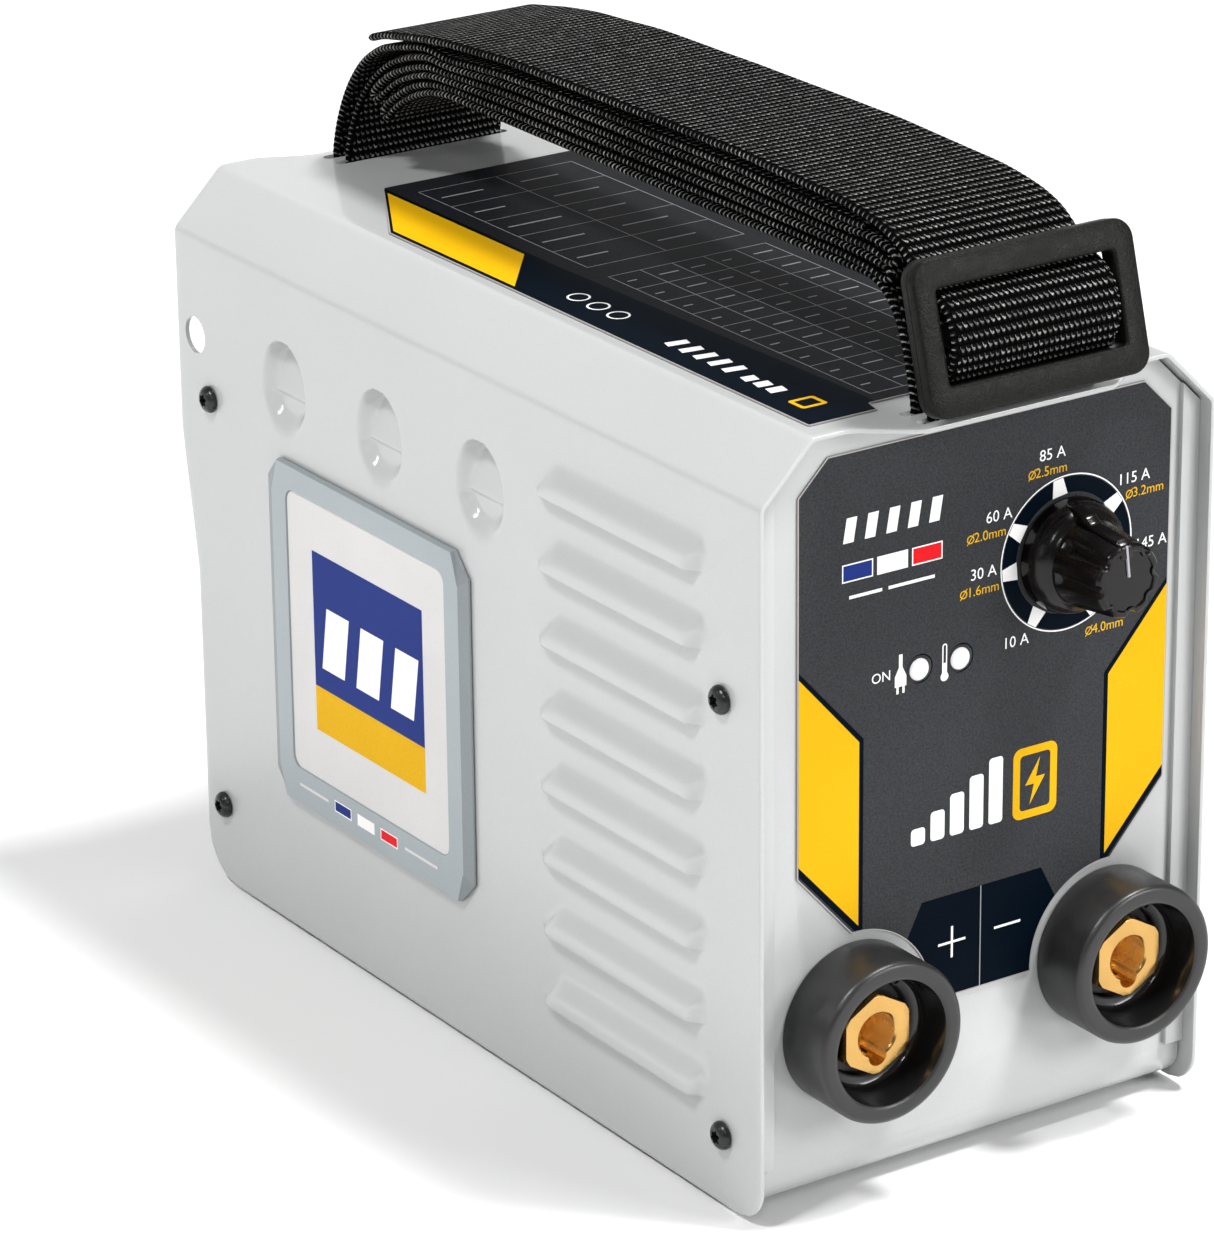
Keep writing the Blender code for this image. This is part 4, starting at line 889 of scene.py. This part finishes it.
def make_badge():
    """Bevelled grey plate with a sunk pale field and plain colour blocks; the bevel's side facets are painted
    darker as shade.
    """
    middle = (148.2, 75.0)

    def ring(points, x):
        corners = []
        for sy, sz, way in ((1, 1, 1), (-1, 1, -1), (-1, -1, 1), (1, -1, -1)):
            corners += [(x, middle[0] + sy * a, middle[1] + sz * b) for a, b in points[::way]]
        return corners

    outer, top = [(41.8, 35.6), (36.6, 41.0)], [(38.8, 33.6), (36.4, 40.7)]
    bm = bmesh.new()
    steps = ((outer, BADGE_BACK), (outer, BADGE_BACK - 0.5), (top, BADGE_FACE))
    rings = [[bm.verts.new(p) for p in ring(*step)] for step in steps]
    bm.faces.new(rings[0])
    bm.faces.new(rings[-1])
    skin(bm, rings, looped=False)
    field = fillet(rectangle((115.1, 43.1), (180.9, 110.1)), 3.0, 5)
    bm = combine("DIFFERENCE", bm, prism(field, "X", BADGE_BACK - 3, BADGE_FIELD_X))
    soften(bm, 0.15, 12)

    # Side facets get the darker painted-shade grey (index 2); the sunk field gets the pale field colour
    # (index 1).
    def shade(spot, face):
        if abs(spot.x - BADGE_FIELD_X) < 0.02 and face.normal.x < -0.9:
            return 1
        return 2 if abs(face.normal.y) > 0.15 and face.normal.x < -0.2 else 0

    tint(bm, shade)
    piece(
        "fine_side_badge", bm, [BADGE_GREY, BADGE_FIELD, BADGE_PAINTED_SHADE], ["side_badge"],
        smooth=12
    )

    face = Print("X", BADGE_FIELD_X, -1)
    face.area(BLUE, rectangle((124.6, 66.0), (170.6, 98.3)))
    face.area(YELLOW, rectangle((124.6, 55.2), (170.6, 66.0)))
    for y in (167.4, 152.9, 138.4):
        face.area(WHITE, [(y, 71.0), (y - 9.5, 71.0), (y - 12.0, 86.0), (y - 2.5, 86.0)], 2)
    face.done("badge_print")
    small = Print("X", BADGE_FACE, -1)
    print_bars(small, (156.1, 146.3, 136.5), (37.7, 40.5), 7.2)
    for y0, y1 in ((166.0, 178.5), (120.0, 133.5)):
        small.area(BADGE_FIELD, rectangle((y0, 38.8), (y1, 39.5)))
    small.done("badge_bars")


# Front controls


def off_axis(spot, centre):
    """How far a point lies from an axis along Y."""
    return math.hypot(spot.x - centre[0], spot.z - centre[1])


def make_sockets():
    """Moulded collars with a cup round the brass insert, whose hexagon is bored and keyed."""
    rim, seat = PANEL_Y - 14.1, PANEL_Y - 0.3
    outside = [
        (17.85, seat), (17.85, rim + 1.2), (17.6, rim + 0.5), (17.05, rim + 0.1), (16.4, rim),
        (14.7, rim)
    ]
    inside = [
        (14.15, rim + 0.1), (13.85, rim + 0.4), (13.75, rim + 1.1), (13.45, -3.3), (13.36, -2.6),
        (13.1, -1.8), (12.7, -1.15), (12.1, -0.7)
    ]
    inside += [
        (11.5, -0.5), (10.7, -0.5), (10.6, -0.3), (10.5, -0.3), (10.3, 0.0), (10.2, 1.6), (6.9, 1.6)
    ]
    back = [(6.9, 6.0), (11.9, 6.0), (11.9, seat)]
    face, shank_end = rim + 5.3, 23.0
    for name, x in SOCKETS.items():
        centre = (x, SOCKET_Z)
        bm = turned(outside + inside + back, "Y", centre, 128)
        ring = [(0.75, -0.85), (1.05, -0.85), (1.05, 0.5), (0.75, 0.5)]
        marks = [
            turned(ring, "Y", arc(centre, 11.5, angle, angle, 1)[0], 24) for angle in (52, 140, 218, 318)
        ]
        bm = combine("UNION", bm, *marks)
        tint(bm, lambda spot, f: off_axis(spot, centre) < 14.3 and -9 < spot.y < -0.9)
        piece(
            f"fine_{name}_collar", bm, [BLACK_SATIN, BLACK_GLOSS], [f"{name}_collar"],
        )

        radius = 16 / math.sqrt(3)
        brass = prism(arc(centre, radius, 30, 330, 5), "Y", face, 1.3)
        cone = [
            (0, face - 1), (7.2, face - 1), (8.65, face), (radius + 0.3, face + 0.75), (radius + 0.3, 2),
            (0, 2)
        ]
        brass = combine("INTERSECT", brass, turned(cone, "Y", centre, 96))
        brass = combine("UNION", brass, rod(6.5, "Y", centre, 0.5, shank_end, 64))
        bore = [
            (0, face - 1), (5.1, face - 1), (5.1, face), (4.6, face + 0.45), (4.5, 8), (4.1, 8.4),
            (4.1, 12), (0, 12)
        ]
        key = rod(2.25, "Y", (x, SOCKET_Z - 4.7), face - 2, face + 9, 32)
        brass = combine("DIFFERENCE", brass, turned(bore, "Y", centre, 64))
        brass = combine("DIFFERENCE", brass, key)
        soften(brass, 0.16, 28)
        # The bore's inner faces get the brighter painted-light brass.
        tint(brass, lambda spot, f: spot.y > face + 0.8 and off_axis(spot, centre) < 6.2)
        piece(f"fine_{name}_insert", brass, [BRASS, BRASS_BORE_LIT], [f"{name}_insert"])


def make_knob():
    """Fluted body on a domed skirt, with a wing pointer that steps down towards the face."""
    foot, face = PANEL_Y - 0.7, PANEL_Y - 21
    skirt = [
        (7.6, foot), (12.15, foot), (12.3, foot - 0.25), (12.3, foot - 2.2), (12.1, foot - 3.4),
        (11.7, foot - 4.5)
    ]
    skirt += [(11.1, foot - 5.5), (10.45, foot - 6.2), (10.0, foot - 6.45), (9.8, foot - 6.7)]
    low = foot - 7.0
    rows = (0, 0.06, 0.12, 0.2, 0.35, 0.5, 0.65, 0.8, 0.9, 1)
    body = [(9.45 - 1.35 * t, low - (low - face - 1.1) * t) for t in rows]
    crown = [
        (7.9, face + 0.5), (7.55, face + 0.12), (7.1, face), (6.6, face), (6.4, face + 0.12),
        (6.3, face + 0.4)
    ]
    crown += [(5.8, face + 0.38), (3, face + 0.3), (0, face + 0.3)]
    hollow = [(0, -12), (3.05, -12), (3.05, -1.2), (7.6, -1.2)]
    steps, flutes = 160, 8
    bm = bmesh.new()
    rings = []
    for radius, y in skirt + body + crown + hollow:
        ring = []
        for i in range(steps):
            turn = 2 * math.pi * i / steps
            depth = rise((foot - 7.6 - y) / 1.4) * rise((radius - 6.2) / 0.6)
            scoop = max(0.0, math.cos(flutes * turn)) ** 0.7 * 1.05 * depth
            r = radius - (scoop if radius > 6.2 and y < low else 0)
            ring.append((DIAL[0] + r * math.sin(turn), y, DIAL[1] + r * math.cos(turn)))
        if radius == 0:
            rings.append([bm.verts.new(ring[0])] * steps)
        else:
            rings.append([bm.verts.new(p) for p in ring])
    skin(bm, rings)
    side = [
        (foot - 2.0, 11.9), (foot - 4.6, 12.25), (foot - 9.0, 11.2), (foot - 10.4, 9.75),
        (face + 1.6, 8.85)
    ]
    side += [(face + 0.5, 8.2), (face - 0.05, 7.6), (face - 0.05, 5), (foot - 2.0, 5)]
    wing = prism([(y, DIAL[1] + z) for y, z in side], "X", DIAL[0] - 1.55, DIAL[0] + 1.55)
    soften(wing, 0.45, 20, 3)
    bm = combine("UNION", bm, wing)
    line = box(
        (DIAL[0] - 0.25, face - 0.12, DIAL[1] + 1.0), (DIAL[0] + 0.25, face + 0.45, DIAL[1] + 7.9)
    )
    tint(line, lambda spot, f: 1)
    bm = together(bm, line)
    turn = Matrix.Translation((DIAL[0], 0, DIAL[1])) @ Matrix.Rotation(math.radians(-7), 4, "Y")
    bm.transform(turn @ Matrix.Translation((-DIAL[0], 0, -DIAL[1])))
    mark = material("pointer_line", (0.34, 0.33, 0.36), 0.35)
    piece("fine_knob", bm, [SMOKE, mark], ["knob"], "knob", smooth=30)


def make_lamps():
    for name, x in LAMPS.items():
        dome = [
            (2.4 * math.cos(math.radians(a)), 3.9 - 0.95 * math.sin(math.radians(a)))
            for a in range(0, 90, 9)
        ]
        profile = [(0, 15.6), (2.95, 15.6), (2.95, 4.2), (2.9, 4.0), (2.5, 4.0)] + dome + [(0, 2.95)]
        centre = (x - 0.4, LAMP_Z)
        bm = turned(profile, "Y", centre, 48)
        tint(bm, lambda spot, face: off_axis(spot, centre) > 2.42)
        piece(f"fine_{name}", bm, [LAMP, BLACK_PLAIN], [name])


def make_cover_screws():
    """Domed heads with a six-lobed recess."""
    profile = [
        (0, -7), (1.5, -7), (1.5, 0.3), (3.1, 0.3), (3.15, 0.6), (3.05, 1.0), (2.8, 1.45), (2.4, 1.85),
        (1.9, 2.12)
    ]
    profile += [(1.2, 2.28), (0, 2.3)]
    star = []
    for i in range(48):
        a = 2 * math.pi * i / 48
        r = 1.32 + 0.24 * math.cos(6 * a)
        star.append((r * math.cos(a), r * math.sin(a)))
    head = combine("DIFFERENCE", turned(profile, "X", (0, 0), 40), prism(star, "X", 1.0, 4))
    number = 0
    for side in (-1, 1):
        for place in SCREWS:
            number += 1
            bm = head.copy()
            bmesh.ops.rotate(
                bm, verts=bm.verts, cent=(0, 0, 0), matrix=Matrix.Rotation(0.7 * number, 3, "X")
            )
            bmesh.ops.scale(bm, vec=(side, 1, 1), verts=bm.verts)
            bmesh.ops.translate(bm, vec=(side * HALF, *place), verts=bm.verts)
            name = f"cover_screw_{number}"
            piece("fine_" + name, closed_up(bm), SCREW_BLACK, [name])
    head.free()


# Strap and buckle


BUCKLE = Matrix.Translation((0.9, -10.5, 189.5)) @ Matrix.Rotation(math.radians(-15.4), 4, "X")


def make_buckle():
    def ring(half_x, half_z, radius, y):
        return [(x, y, z) for x, z in fillet(rectangle((-half_x, -half_z), (half_x, half_z)), radius, 8)]

    bm = bmesh.new()
    outside = [
        (26.95, 15.25, 3.9, -0.45), (27.3, 15.6, 4.25, -0.28), (27.5, 15.8, 4.5, 0.15),
        (27.5, 15.8, 4.5, 1.7)
    ]
    outside += [
        (27.3, 15.6, 4.25, 1.85), (27.5, 15.8, 4.5, 2.0), (27.5, 15.8, 4.5, 3.6),
        (27.1, 15.4, 4.1, 4.15), (26.3, 14.6, 3.3, 4.3)
    ]
    inside = [
        (22.9, 10.5, 1.8, 4.3), (22.3, 9.9, 1.2, 4.1), (22.1, 9.7, 1.0, 3.6), (22.1, 9.7, 1.0, 0.3),
        (22.2, 9.8, 1.1, -0.1)
    ]
    inside += [(22.55, 10.15, 1.45, -0.38), (22.9, 10.5, 1.8, -0.45)]
    rings = [[bm.verts.new(p) for p in ring(*spec)] for spec in outside + inside]
    skin(bm, rings)
    bar = box((-24, 0.9, -2.1), (24, 3.5, 2.1))
    soften(bar, 0.7)
    bm = combine("UNION", bm, bar)
    bm.transform(BUCKLE)
    piece("fine_buckle", bm, BUCKLE_PLASTIC, ["buckle"], smooth=40)


def in_buckle(up, forward):
    spot = BUCKLE @ Vector((0, -forward, up))
    return (spot.y, spot.z)


def layer_height(y, layer):
    """Middle of one of the seven folded layers above the case."""
    tops = (
        (5, 204.8), (12, 207.4), (25, 209.4), (60, 210.7), (110, 210.75), (148, 210.2), (176, 208.4),
        (196, 205)
    )
    top = tops[-1][1]
    for (y0, z0), (y1, z1) in zip(tops, tops[1:]):
        if y <= y1:
            t = max(0.0, (y - y0) / (y1 - y0))
            top = z0 + (z1 - z0) * t
            break
    low = 194.7 + 0.5 * (y - 10) / 160
    if layer == 1:
        return top - 0.9
    second = top - 4.3
    return second + (low + 0.9 - second) * (layer - 2) / 5


def run(layer, start, end):
    count = max(2, int(abs(end - start) / 12))
    spots = [start + (end - start) * i / count for i in range(count + 1)]
    return [(y, layer_height(y, layer)) for y in spots]


def webbing_path():
    """The strap's middle line in the (y, z) plane, from the tail on top to the cut end under it."""
    path = [(203.6, 202.3), (199.5, 203.6), (192, 205.0), (184, 206.3)] + run(1, 172, 24)
    path += [(12, 206.4), (6, 204.2), (1.0, 200.9)]
    path += [
        in_buckle(up, out)
        for up, out in ((12.4, -5.6), (9.8, -4.3), (7.4, -1.5), (4.2, 0.9), (0, 1.7), (-4.2, 0.9))
    ]
    path += [in_buckle(up, out) for up, out in ((-7.4, -1.5), (-9.8, -4.3), (-12.2, -5.2))]
    path += [
        (-5.2, 174.8), (-4.8, 172.0), (-4.7, 170.2), (-4.1, 169.0), (-2.1, 168.5), (-0.1, 169.0),
        (0.6, 170.2), (0.7, 172.0)
    ]
    path += [(1.6, 176.5), (3.4, 182.6), (5.9, 188.4), (9.8, 192.9), (14.5, 195.2)] + run(7, 25, 172)
    path += [
        (180, 194.8), (185.5, 192.9), (190.5, 190.5), (195.5, 187.2), (198.2, 184.9), (199.6, 185.4),
        (198.6, 187.4)
    ]
    path += [(193.4, 191.2), (187, 194.6), (180, 196.8)] + run(6, 172, 24)
    path += [(15, 196.9), (10, 196.0), (8.2, 197.0), (9.4, 198.2), (14, 199.0)] + run(5, 25, 172)
    path += [
        (180, 198.8), (187, 196.9), (193.5, 194.1), (199.5, 190.1), (202.6, 188.2), (203.8, 189.1),
        (202.2, 191.2)
    ]
    path += [(195.2, 195.8), (188, 198.7), (180, 200.8)] + run(4, 172, 24)
    path += [(14, 200.9), (8.6, 199.7), (6.6, 200.7), (7.8, 202.0), (14, 203.2)] + run(3, 25, 172)
    path += [
        (180, 202.8), (189, 200.7), (196.8, 197.4), (203.2, 192.9), (208.2, 187.5), (211.9, 181.6),
        (214.3, 175.6)
    ]
    path += [
        (215.2, 172.0), (215.3, 170.2), (215.9, 169.0), (217.85, 168.5), (219.8, 169.0), (220.4, 170.2),
        (220.5, 172.0)
    ]
    path += [
        (218.9, 178.2), (215.9, 184.9), (211.8, 191.1), (206.2, 196.7), (199, 200.7), (190, 203.1),
        (180, 204.9)
    ]
    return path + run(2, 172, 24) + [(17, 205.0)]


def blend(a, b, start, end, t):
    return a * (end - t) / (end - start) + b * (t - start) / (end - start) if end > start else a


def smooth_line(points, step):
    """Points at even spacing along a curve through the given ones, and its length."""
    dense = []
    for i in range(len(points) - 1):
        p = [Vector(points[min(max(k, 0), len(points) - 1)]) for k in (i - 1, i, i + 1, i + 2)]
        knots = [0.0]
        for a, b in zip(p, p[1:]):
            knots.append(knots[-1] + max((b - a).length, 1e-6) ** 0.5)
        if i == 0:
            p[0], knots[0] = p[1] - (p[2] - p[1]), knots[1] - (knots[2] - knots[1])
        count = max(4, int((p[2] - p[1]).length / 0.4))
        for s in range(count):
            t = knots[1] + (knots[2] - knots[1]) * s / count
            a = [blend(p[k], p[k + 1], knots[k], knots[k + 1], t) for k in range(3)]
            b = [blend(a[k], a[k + 1], knots[k], knots[k + 2], t) for k in range(2)]
            dense.append(blend(*b, knots[1], knots[2], t))
    dense.append(Vector(points[-1]))
    even, walked, target = [dense[0]], 0.0, step
    for a, b in zip(dense, dense[1:]):
        length = (b - a).length
        while walked + length >= target:
            even.append(a + (b - a) * (target - walked) / length)
            target += step
        walked += length
    return even, walked


STRAP_WIDTH, STRAP_THICK, WEAVE = 42.0, 1.75, (1.35, 2.2)
STAGGER_END = 0.5  # rows are staggered up to this U, in metres
SELVEDGE_COLUMN = 600  # the woven edges start at this column, which is past that U


def webbing_material():
    """Coarse woven tape: rounded picks with painted highlights as bright flecks, laid out along the tape's
    own coordinates.
    """
    made, tree, shader = new_material("webbing")

    def calculate(operation, *values):
        node = tree.nodes.new("ShaderNodeMath")
        node.operation = operation
        for socket, value in zip(node.inputs, values):
            connect(tree, value, socket)
        return node.outputs["Value"]

    names = ("ADD", "SUBTRACT", "MULTIPLY", "DIVIDE", "POWER", "ABSOLUTE", "FLOOR", "FRACT", "MAXIMUM")
    add, minus, times, over, power, size, floor, fract, larger = (
        partial(calculate, name) for name in names
    )

    place = add_node(tree, "UVMap")
    place.uv_map = "tape"
    split = add_node(tree, "SeparateXYZ", Vector=place.outputs["UV"])
    across, along = (over(split.outputs[axis], pitch / 1000) for axis, pitch in zip("XY", WEAVE))
    row = floor(along)
    on_face = calculate("LESS_THAN", split.outputs["X"], STAGGER_END)
    shifted = add(across, times(calculate("MODULO", row, 2.0), times(on_face, 0.5)))
    u, v = minus(fract(shifted), 0.5), minus(fract(along), 0.5)
    far = add(power(size(times(u, 2.05)), 2.4), power(size(times(v, 2.1)), 2.2))
    pick = power(larger(minus(1.0, far), 0.0), 0.6)

    cell = add_node(tree, "CombineXYZ", X=floor(shifted), Y=row)
    chance = add_node(tree, "TexWhiteNoise", Vector=cell.outputs["Vector"]).outputs["Value"]
    thread = add_node(tree, "TexNoise", Scale=2600, Detail=3, Vector=place.outputs["UV"]).outputs["Fac"]

    # Painted highlight: a slanted bright streak in each pick, broken up by thread noise and varied at random
    # per pick, stands in for light glinting on the glossy threads.
    slant = add(times(u, 2.7), times(minus(v, 0.12), 1.7))
    stroke = minus(add(v, times(times(u, u), 1.3)), 0.06)
    painted_glint_shape = larger(minus(1.0, add(power(size(times(stroke, 6.5)), 2.0), power(size(slant), 3.0))), 0.0)
    broken = add(0.35, times(calculate("GREATER_THAN", thread, 0.5), 0.65))
    light = times(times(power(painted_glint_shape, 0.8), broken), add(0.35, times(chance, 0.65)))
    # The pale colour appears only where the painted highlight is; elsewhere the tape is its near-black base.
    connect(
        tree, mix(tree, light, (0.0016, 0.0017, 0.0017, 1), (0.4, 0.395, 0.385, 1)),
        shader.inputs["Base Color"]
    )
    bump = add_node(tree, "Bump", Distance=4.5e-4, Height=add(pick, times(thread, 0.25)))
    connect(tree, bump.outputs["Normal"], shader.inputs["Normal"])
    shader.inputs["Roughness"].default_value = 0.6
    connect(tree, times(power(pick, 1.5), 0.05), shader.inputs["Specular IOR Level"])
    return made


def make_strap():
    step = 0.75
    line, total = smooth_line(webbing_path(), step)
    half, thick = STRAP_WIDTH / 2, STRAP_THICK / 2
    section = [(-half + 1.1 + (STRAP_WIDTH - 2.2) * i / 10, thick) for i in range(11)]
    section += [
        (half - 0.35, thick * 0.66), (half, thick * 0.2), (half, -thick * 0.2),
        (half - 0.35, -thick * 0.66)
    ]
    section += [(half - 1.1 - (STRAP_WIDTH - 2.2) * i / 10, -thick) for i in range(11)]
    section += [
        (0.35 - half, -thick * 0.66), (-half, -thick * 0.2), (-half, thick * 0.2),
        (0.35 - half, thick * 0.66)
    ]
    bm = bmesh.new()
    tape = bm.loops.layers.uv.new("tape")
    rings = []
    for i, spot in enumerate(line):
        before, after = line[max(0, i - 1)], line[min(len(line) - 1, i + 1)]
        along = (after - before).normalized()
        up = Vector((-along.y, along.x))
        sway = 0.5 + 0.45 * noise.noise(Vector((i * 0.012, 3.1, 0)))
        ring = []
        for a, b in section:
            edge = 0.15 if abs(a) > half - 0.4 and i % 2 else 0.0
            out = up * (b + 0.06 * noise.noise(Vector((a * 0.25, i * 0.08, 7.7))))
            ring.append(bm.verts.new((a - math.copysign(edge, a) + sway, spot.x + out.x, spot.y + out.y)))
        rings.append(ring)
    count = len(section)
    around = [0.0]
    for (a0, b0), (a1, b1) in zip(section, section[1:] + section[:1]):
        around.append(around[-1] + math.hypot(a1 - a0, b1 - b0))
    selvedge = around[15] - around[10]
    for i in range(len(rings) - 1):
        for j in range(count):
            k = (j + 1) % count
            face = bm.faces.new((rings[i][j], rings[i + 1][j], rings[i + 1][k], rings[i][k]))
            for loop, (a, b) in zip(face.loops, ((j, i), (j, i + 1), (j + 1, i + 1), (j + 1, i))):
                u, v = around[a], b * step
                if 10 <= j < 15 or j >= 25:
                    start = around[10 if j < 15 else 25]
                    u, v = WEAVE[0] * (SELVEDGE_COLUMN + (u - start) / selvedge), v * 1.5
                loop[tape].uv = (u / 1000, v / 1000)
    for ring in (rings[0], rings[-1]):
        face = bm.faces.new(ring)
        for loop in face.loops:
            loop[tape].uv = (loop.vert.co.x / 1000, loop.vert.co.z / 1000)
    closed_up(bm)
    strap = piece("webbing_strap", bm, webbing_material(), ["strap"], smooth=60)


# Rear panel and inner parts


def refine(node, made, width=0.25, body="case"):
    """A CAD node's own shape with rounded edges."""
    bm = bmesh.new()
    bm.from_mesh(frame["nodes"][node].data)
    bm.transform(TO_WORLD.inverted())
    bmesh.ops.remove_doubles(bm, verts=bm.verts, dist=0.002)
    bmesh.ops.dissolve_limit(bm, angle_limit=FLAT, verts=bm.verts, edges=bm.edges)
    if width:
        soften(bm, width, 50)
    piece("fine_" + node, bm, made, [node], body)


FAN_Z, FAN_PITCH = 64.0, 71.5


def make_guard():
    """Round wires: four rings welded on four legs, each with a pressed eye for a screw."""
    wire = 0.9
    leg_y = REAR_Y + 0.15 + wire
    section = [
        (wire * math.cos(a), wire * math.sin(a)) for a in (2 * math.pi * i / 14 for i in range(14))
    ]
    shapes = []
    for radius in (9, 18, 27, 36):
        shapes.append(turned([(radius + a, leg_y + 1.2 * wire + b) for a, b in section], "Y", (0, FAN_Z), 96))
    reach = FAN_PITCH / math.sqrt(2)
    for number in range(4):
        leg = prism([(leg_y + a, b) for a, b in section], "X", 7.5, reach - 2.6)
        bmesh.ops.rotate(
            leg, cent=(0, 0, 0), matrix=Matrix.Rotation(math.radians(45 + 90 * number), 3, "Y"),
            verts=leg.verts
        )
        bmesh.ops.translate(leg, vec=(0, 0, FAN_Z), verts=leg.verts)
        shapes.append(leg)
    half = FAN_PITCH / 2
    for x, z in ((-half, -half), (-half, half), (half, -half), (half, half)):
        eye = [
            (2.2, leg_y - 0.5), (2.5, leg_y - 0.8), (3.6, leg_y - 0.8), (3.9, leg_y - 0.5),
            (3.9, leg_y + 0.5)
        ]
        eye += [(3.6, leg_y + 0.8), (2.5, leg_y + 0.8), (2.2, leg_y + 0.5)]
        shapes.append(turned(eye, "Y", (x, FAN_Z + z), 32))
    piece("fine_fan_guard", together(*shapes), STEEL, ["fan_guard"])


def make_rear():
    for node, width in (
        ("fan_frame", 0.3), ("switch_body", 0.35), ("cable_gland", 0.25), ("gland_nut", 0.2)
    ):
        refine(node, BLACK_PLAIN, width)
    make_guard()
    refine("fan_rotor", BLACK_SATIN, 0.12, "fan_rotor")
    refine("switch_rocker", BLACK_GLOSS, 0.3, "rocker")
    for i in range(1, 5):
        refine(f"fan_screw_{i}", SCREW_BLACK, 0.12)
        refine(f"foot_{i}", RUBBER, 0.4)


# Light, floor and camera


MIDDLE = (0, 0, 0.09)
LIGHTS = (  # name, place, side in metres, power in watts
    ("rake", (-0.85, -0.2, 1.45), 0.2, 14),
    ("left", (-1.45, -0.45, 0.55), 0.5, 0.8),
    ("spark", (-1.38, 0.42, 0.85), 0.16, 2.2),
    ("front", (0.95, -1.65, 0.75), 0.7, 21),
    ("key", (-0.78, -1.05, 1.0), 0.12, 2.5),
    ("overhead", (0.45, 0.25, 1.4), 0.6, 3),
)
SUN_FROM, SUN_STRENGTH, SUN_ANGLE = (0.38, -0.32, 1.15), 2.85, 11
CAMERA_PLACE, CAMERA_LENS = (-0.65692, -0.95237, 0.53896), 164.0
CAMERA_RIGHT, CAMERA_UP = (0.82995, -0.55773, -0.01073), (0.21059, 0.29544, 0.93186)


def make_light():
    world = bpy.data.worlds.new("studio")
    bpy.context.scene.world = world
    world.use_nodes = True
    shade = world.node_tree.nodes["Background"]
    shade.inputs["Color"].default_value = (1, 1, 1, 1)
    shade.inputs["Strength"].default_value = 0.15
    for name, place, side, power in LIGHTS:
        light = bpy.data.lights.new(name, "AREA")
        light.shape, light.size, light.size_y = "RECTANGLE", side, side
        light.energy = power
        obj = add_object(name, light)
        obj.location = place
        obj.rotation_euler = (Vector(MIDDLE) - Vector(place)).to_track_quat("-Z", "Y").to_euler()
    sun = bpy.data.lights.new("sun", "SUN")
    sun.energy, sun.angle = SUN_STRENGTH, math.radians(SUN_ANGLE)
    add_object("sun", sun).rotation_euler = Vector(SUN_FROM).to_track_quat("Z", "Y").to_euler()


def make_floor():
    """A plain pale sweep, level in front and curving up far behind."""
    reach, edge, bend, height = 6, 2.5, 1.5, 5
    profile = [(-reach, 0), (edge, 0)]
    profile += [
        (edge + bend * math.sin(a), bend - bend * math.cos(a)) for a in (0.3, 0.6, 0.9, 1.2, 1.57)
    ]
    profile.append((edge + bend, height))
    bm = bmesh.new()
    lines = [[bm.verts.new((x, y, z)) for y, z in profile] for x in (-reach, reach)]
    for i in range(len(profile) - 1):
        bm.faces.new((lines[0][i], lines[0][i + 1], lines[1][i + 1], lines[1][i]))
    closed_up(bm)
    mesh = bpy.data.meshes.new("floor")
    bm.to_mesh(mesh)
    bm.free()
    mesh.shade_smooth()
    mesh.materials.append(material("floor", (0.81, 0.81, 0.81), 0.9, mottle=(0.005, 2)))
    add_object("floor", mesh)


def make_camera():
    camera = bpy.data.cameras.new("camera")
    camera.sensor_width, camera.lens, camera.clip_end = 36, CAMERA_LENS, 50
    obj = add_object("camera", camera)
    right, up = Vector(CAMERA_RIGHT), Vector(CAMERA_UP)
    turn = Matrix((right, up, right.cross(up))).transposed().to_4x4()
    obj.matrix_world = Matrix.Translation(CAMERA_PLACE) @ turn
    bpy.context.scene.camera = obj


# Everything else


def finish_nodes():
    """Gives each CAD node the material of its slot."""
    by_slot = {
        "black_plastic": BLACK_PLAIN, "brass": BRASS, "steel": STEEL, "board_green": BOARD,
        "aluminium": ALUMINIUM
    }
    by_slot.update(
        ferrite=FERRITE, copper=COPPER, rubber=RUBBER, powder_coat=POWDER, dark_label=LABEL,
        badge_grey=BADGE_GREY
    )
    by_slot.update(black_screw=SCREW_BLACK, smoke_plastic=SMOKE, lamp=LAMP, webbing=RUBBER)
    slot_of = {entry["node"]: entry.get("material_slot") for entry in frame["record"]["subparts"]}
    for name, node in frame["nodes"].items():
        made = by_slot.get(slot_of.get(name), STEEL)
        node.data.materials.clear()
        node.data.materials.append(made)


def main():
    bpy.context.scene.view_settings.view_transform = "Standard"
    for obj in list(bpy.data.objects):
        if obj.type in {"LIGHT", "CAMERA"} or obj.name == "Cube":
            bpy.data.objects.remove(obj)
    make_camera()
    make_light()
    make_floor()
    finish_nodes()
    make_cover()
    make_chassis()
    make_front_label()
    make_top_label()
    make_badge()
    make_sockets()
    make_knob()
    make_lamps()
    make_cover_screws()
    make_buckle()
    make_strap()
    make_rear()


main()
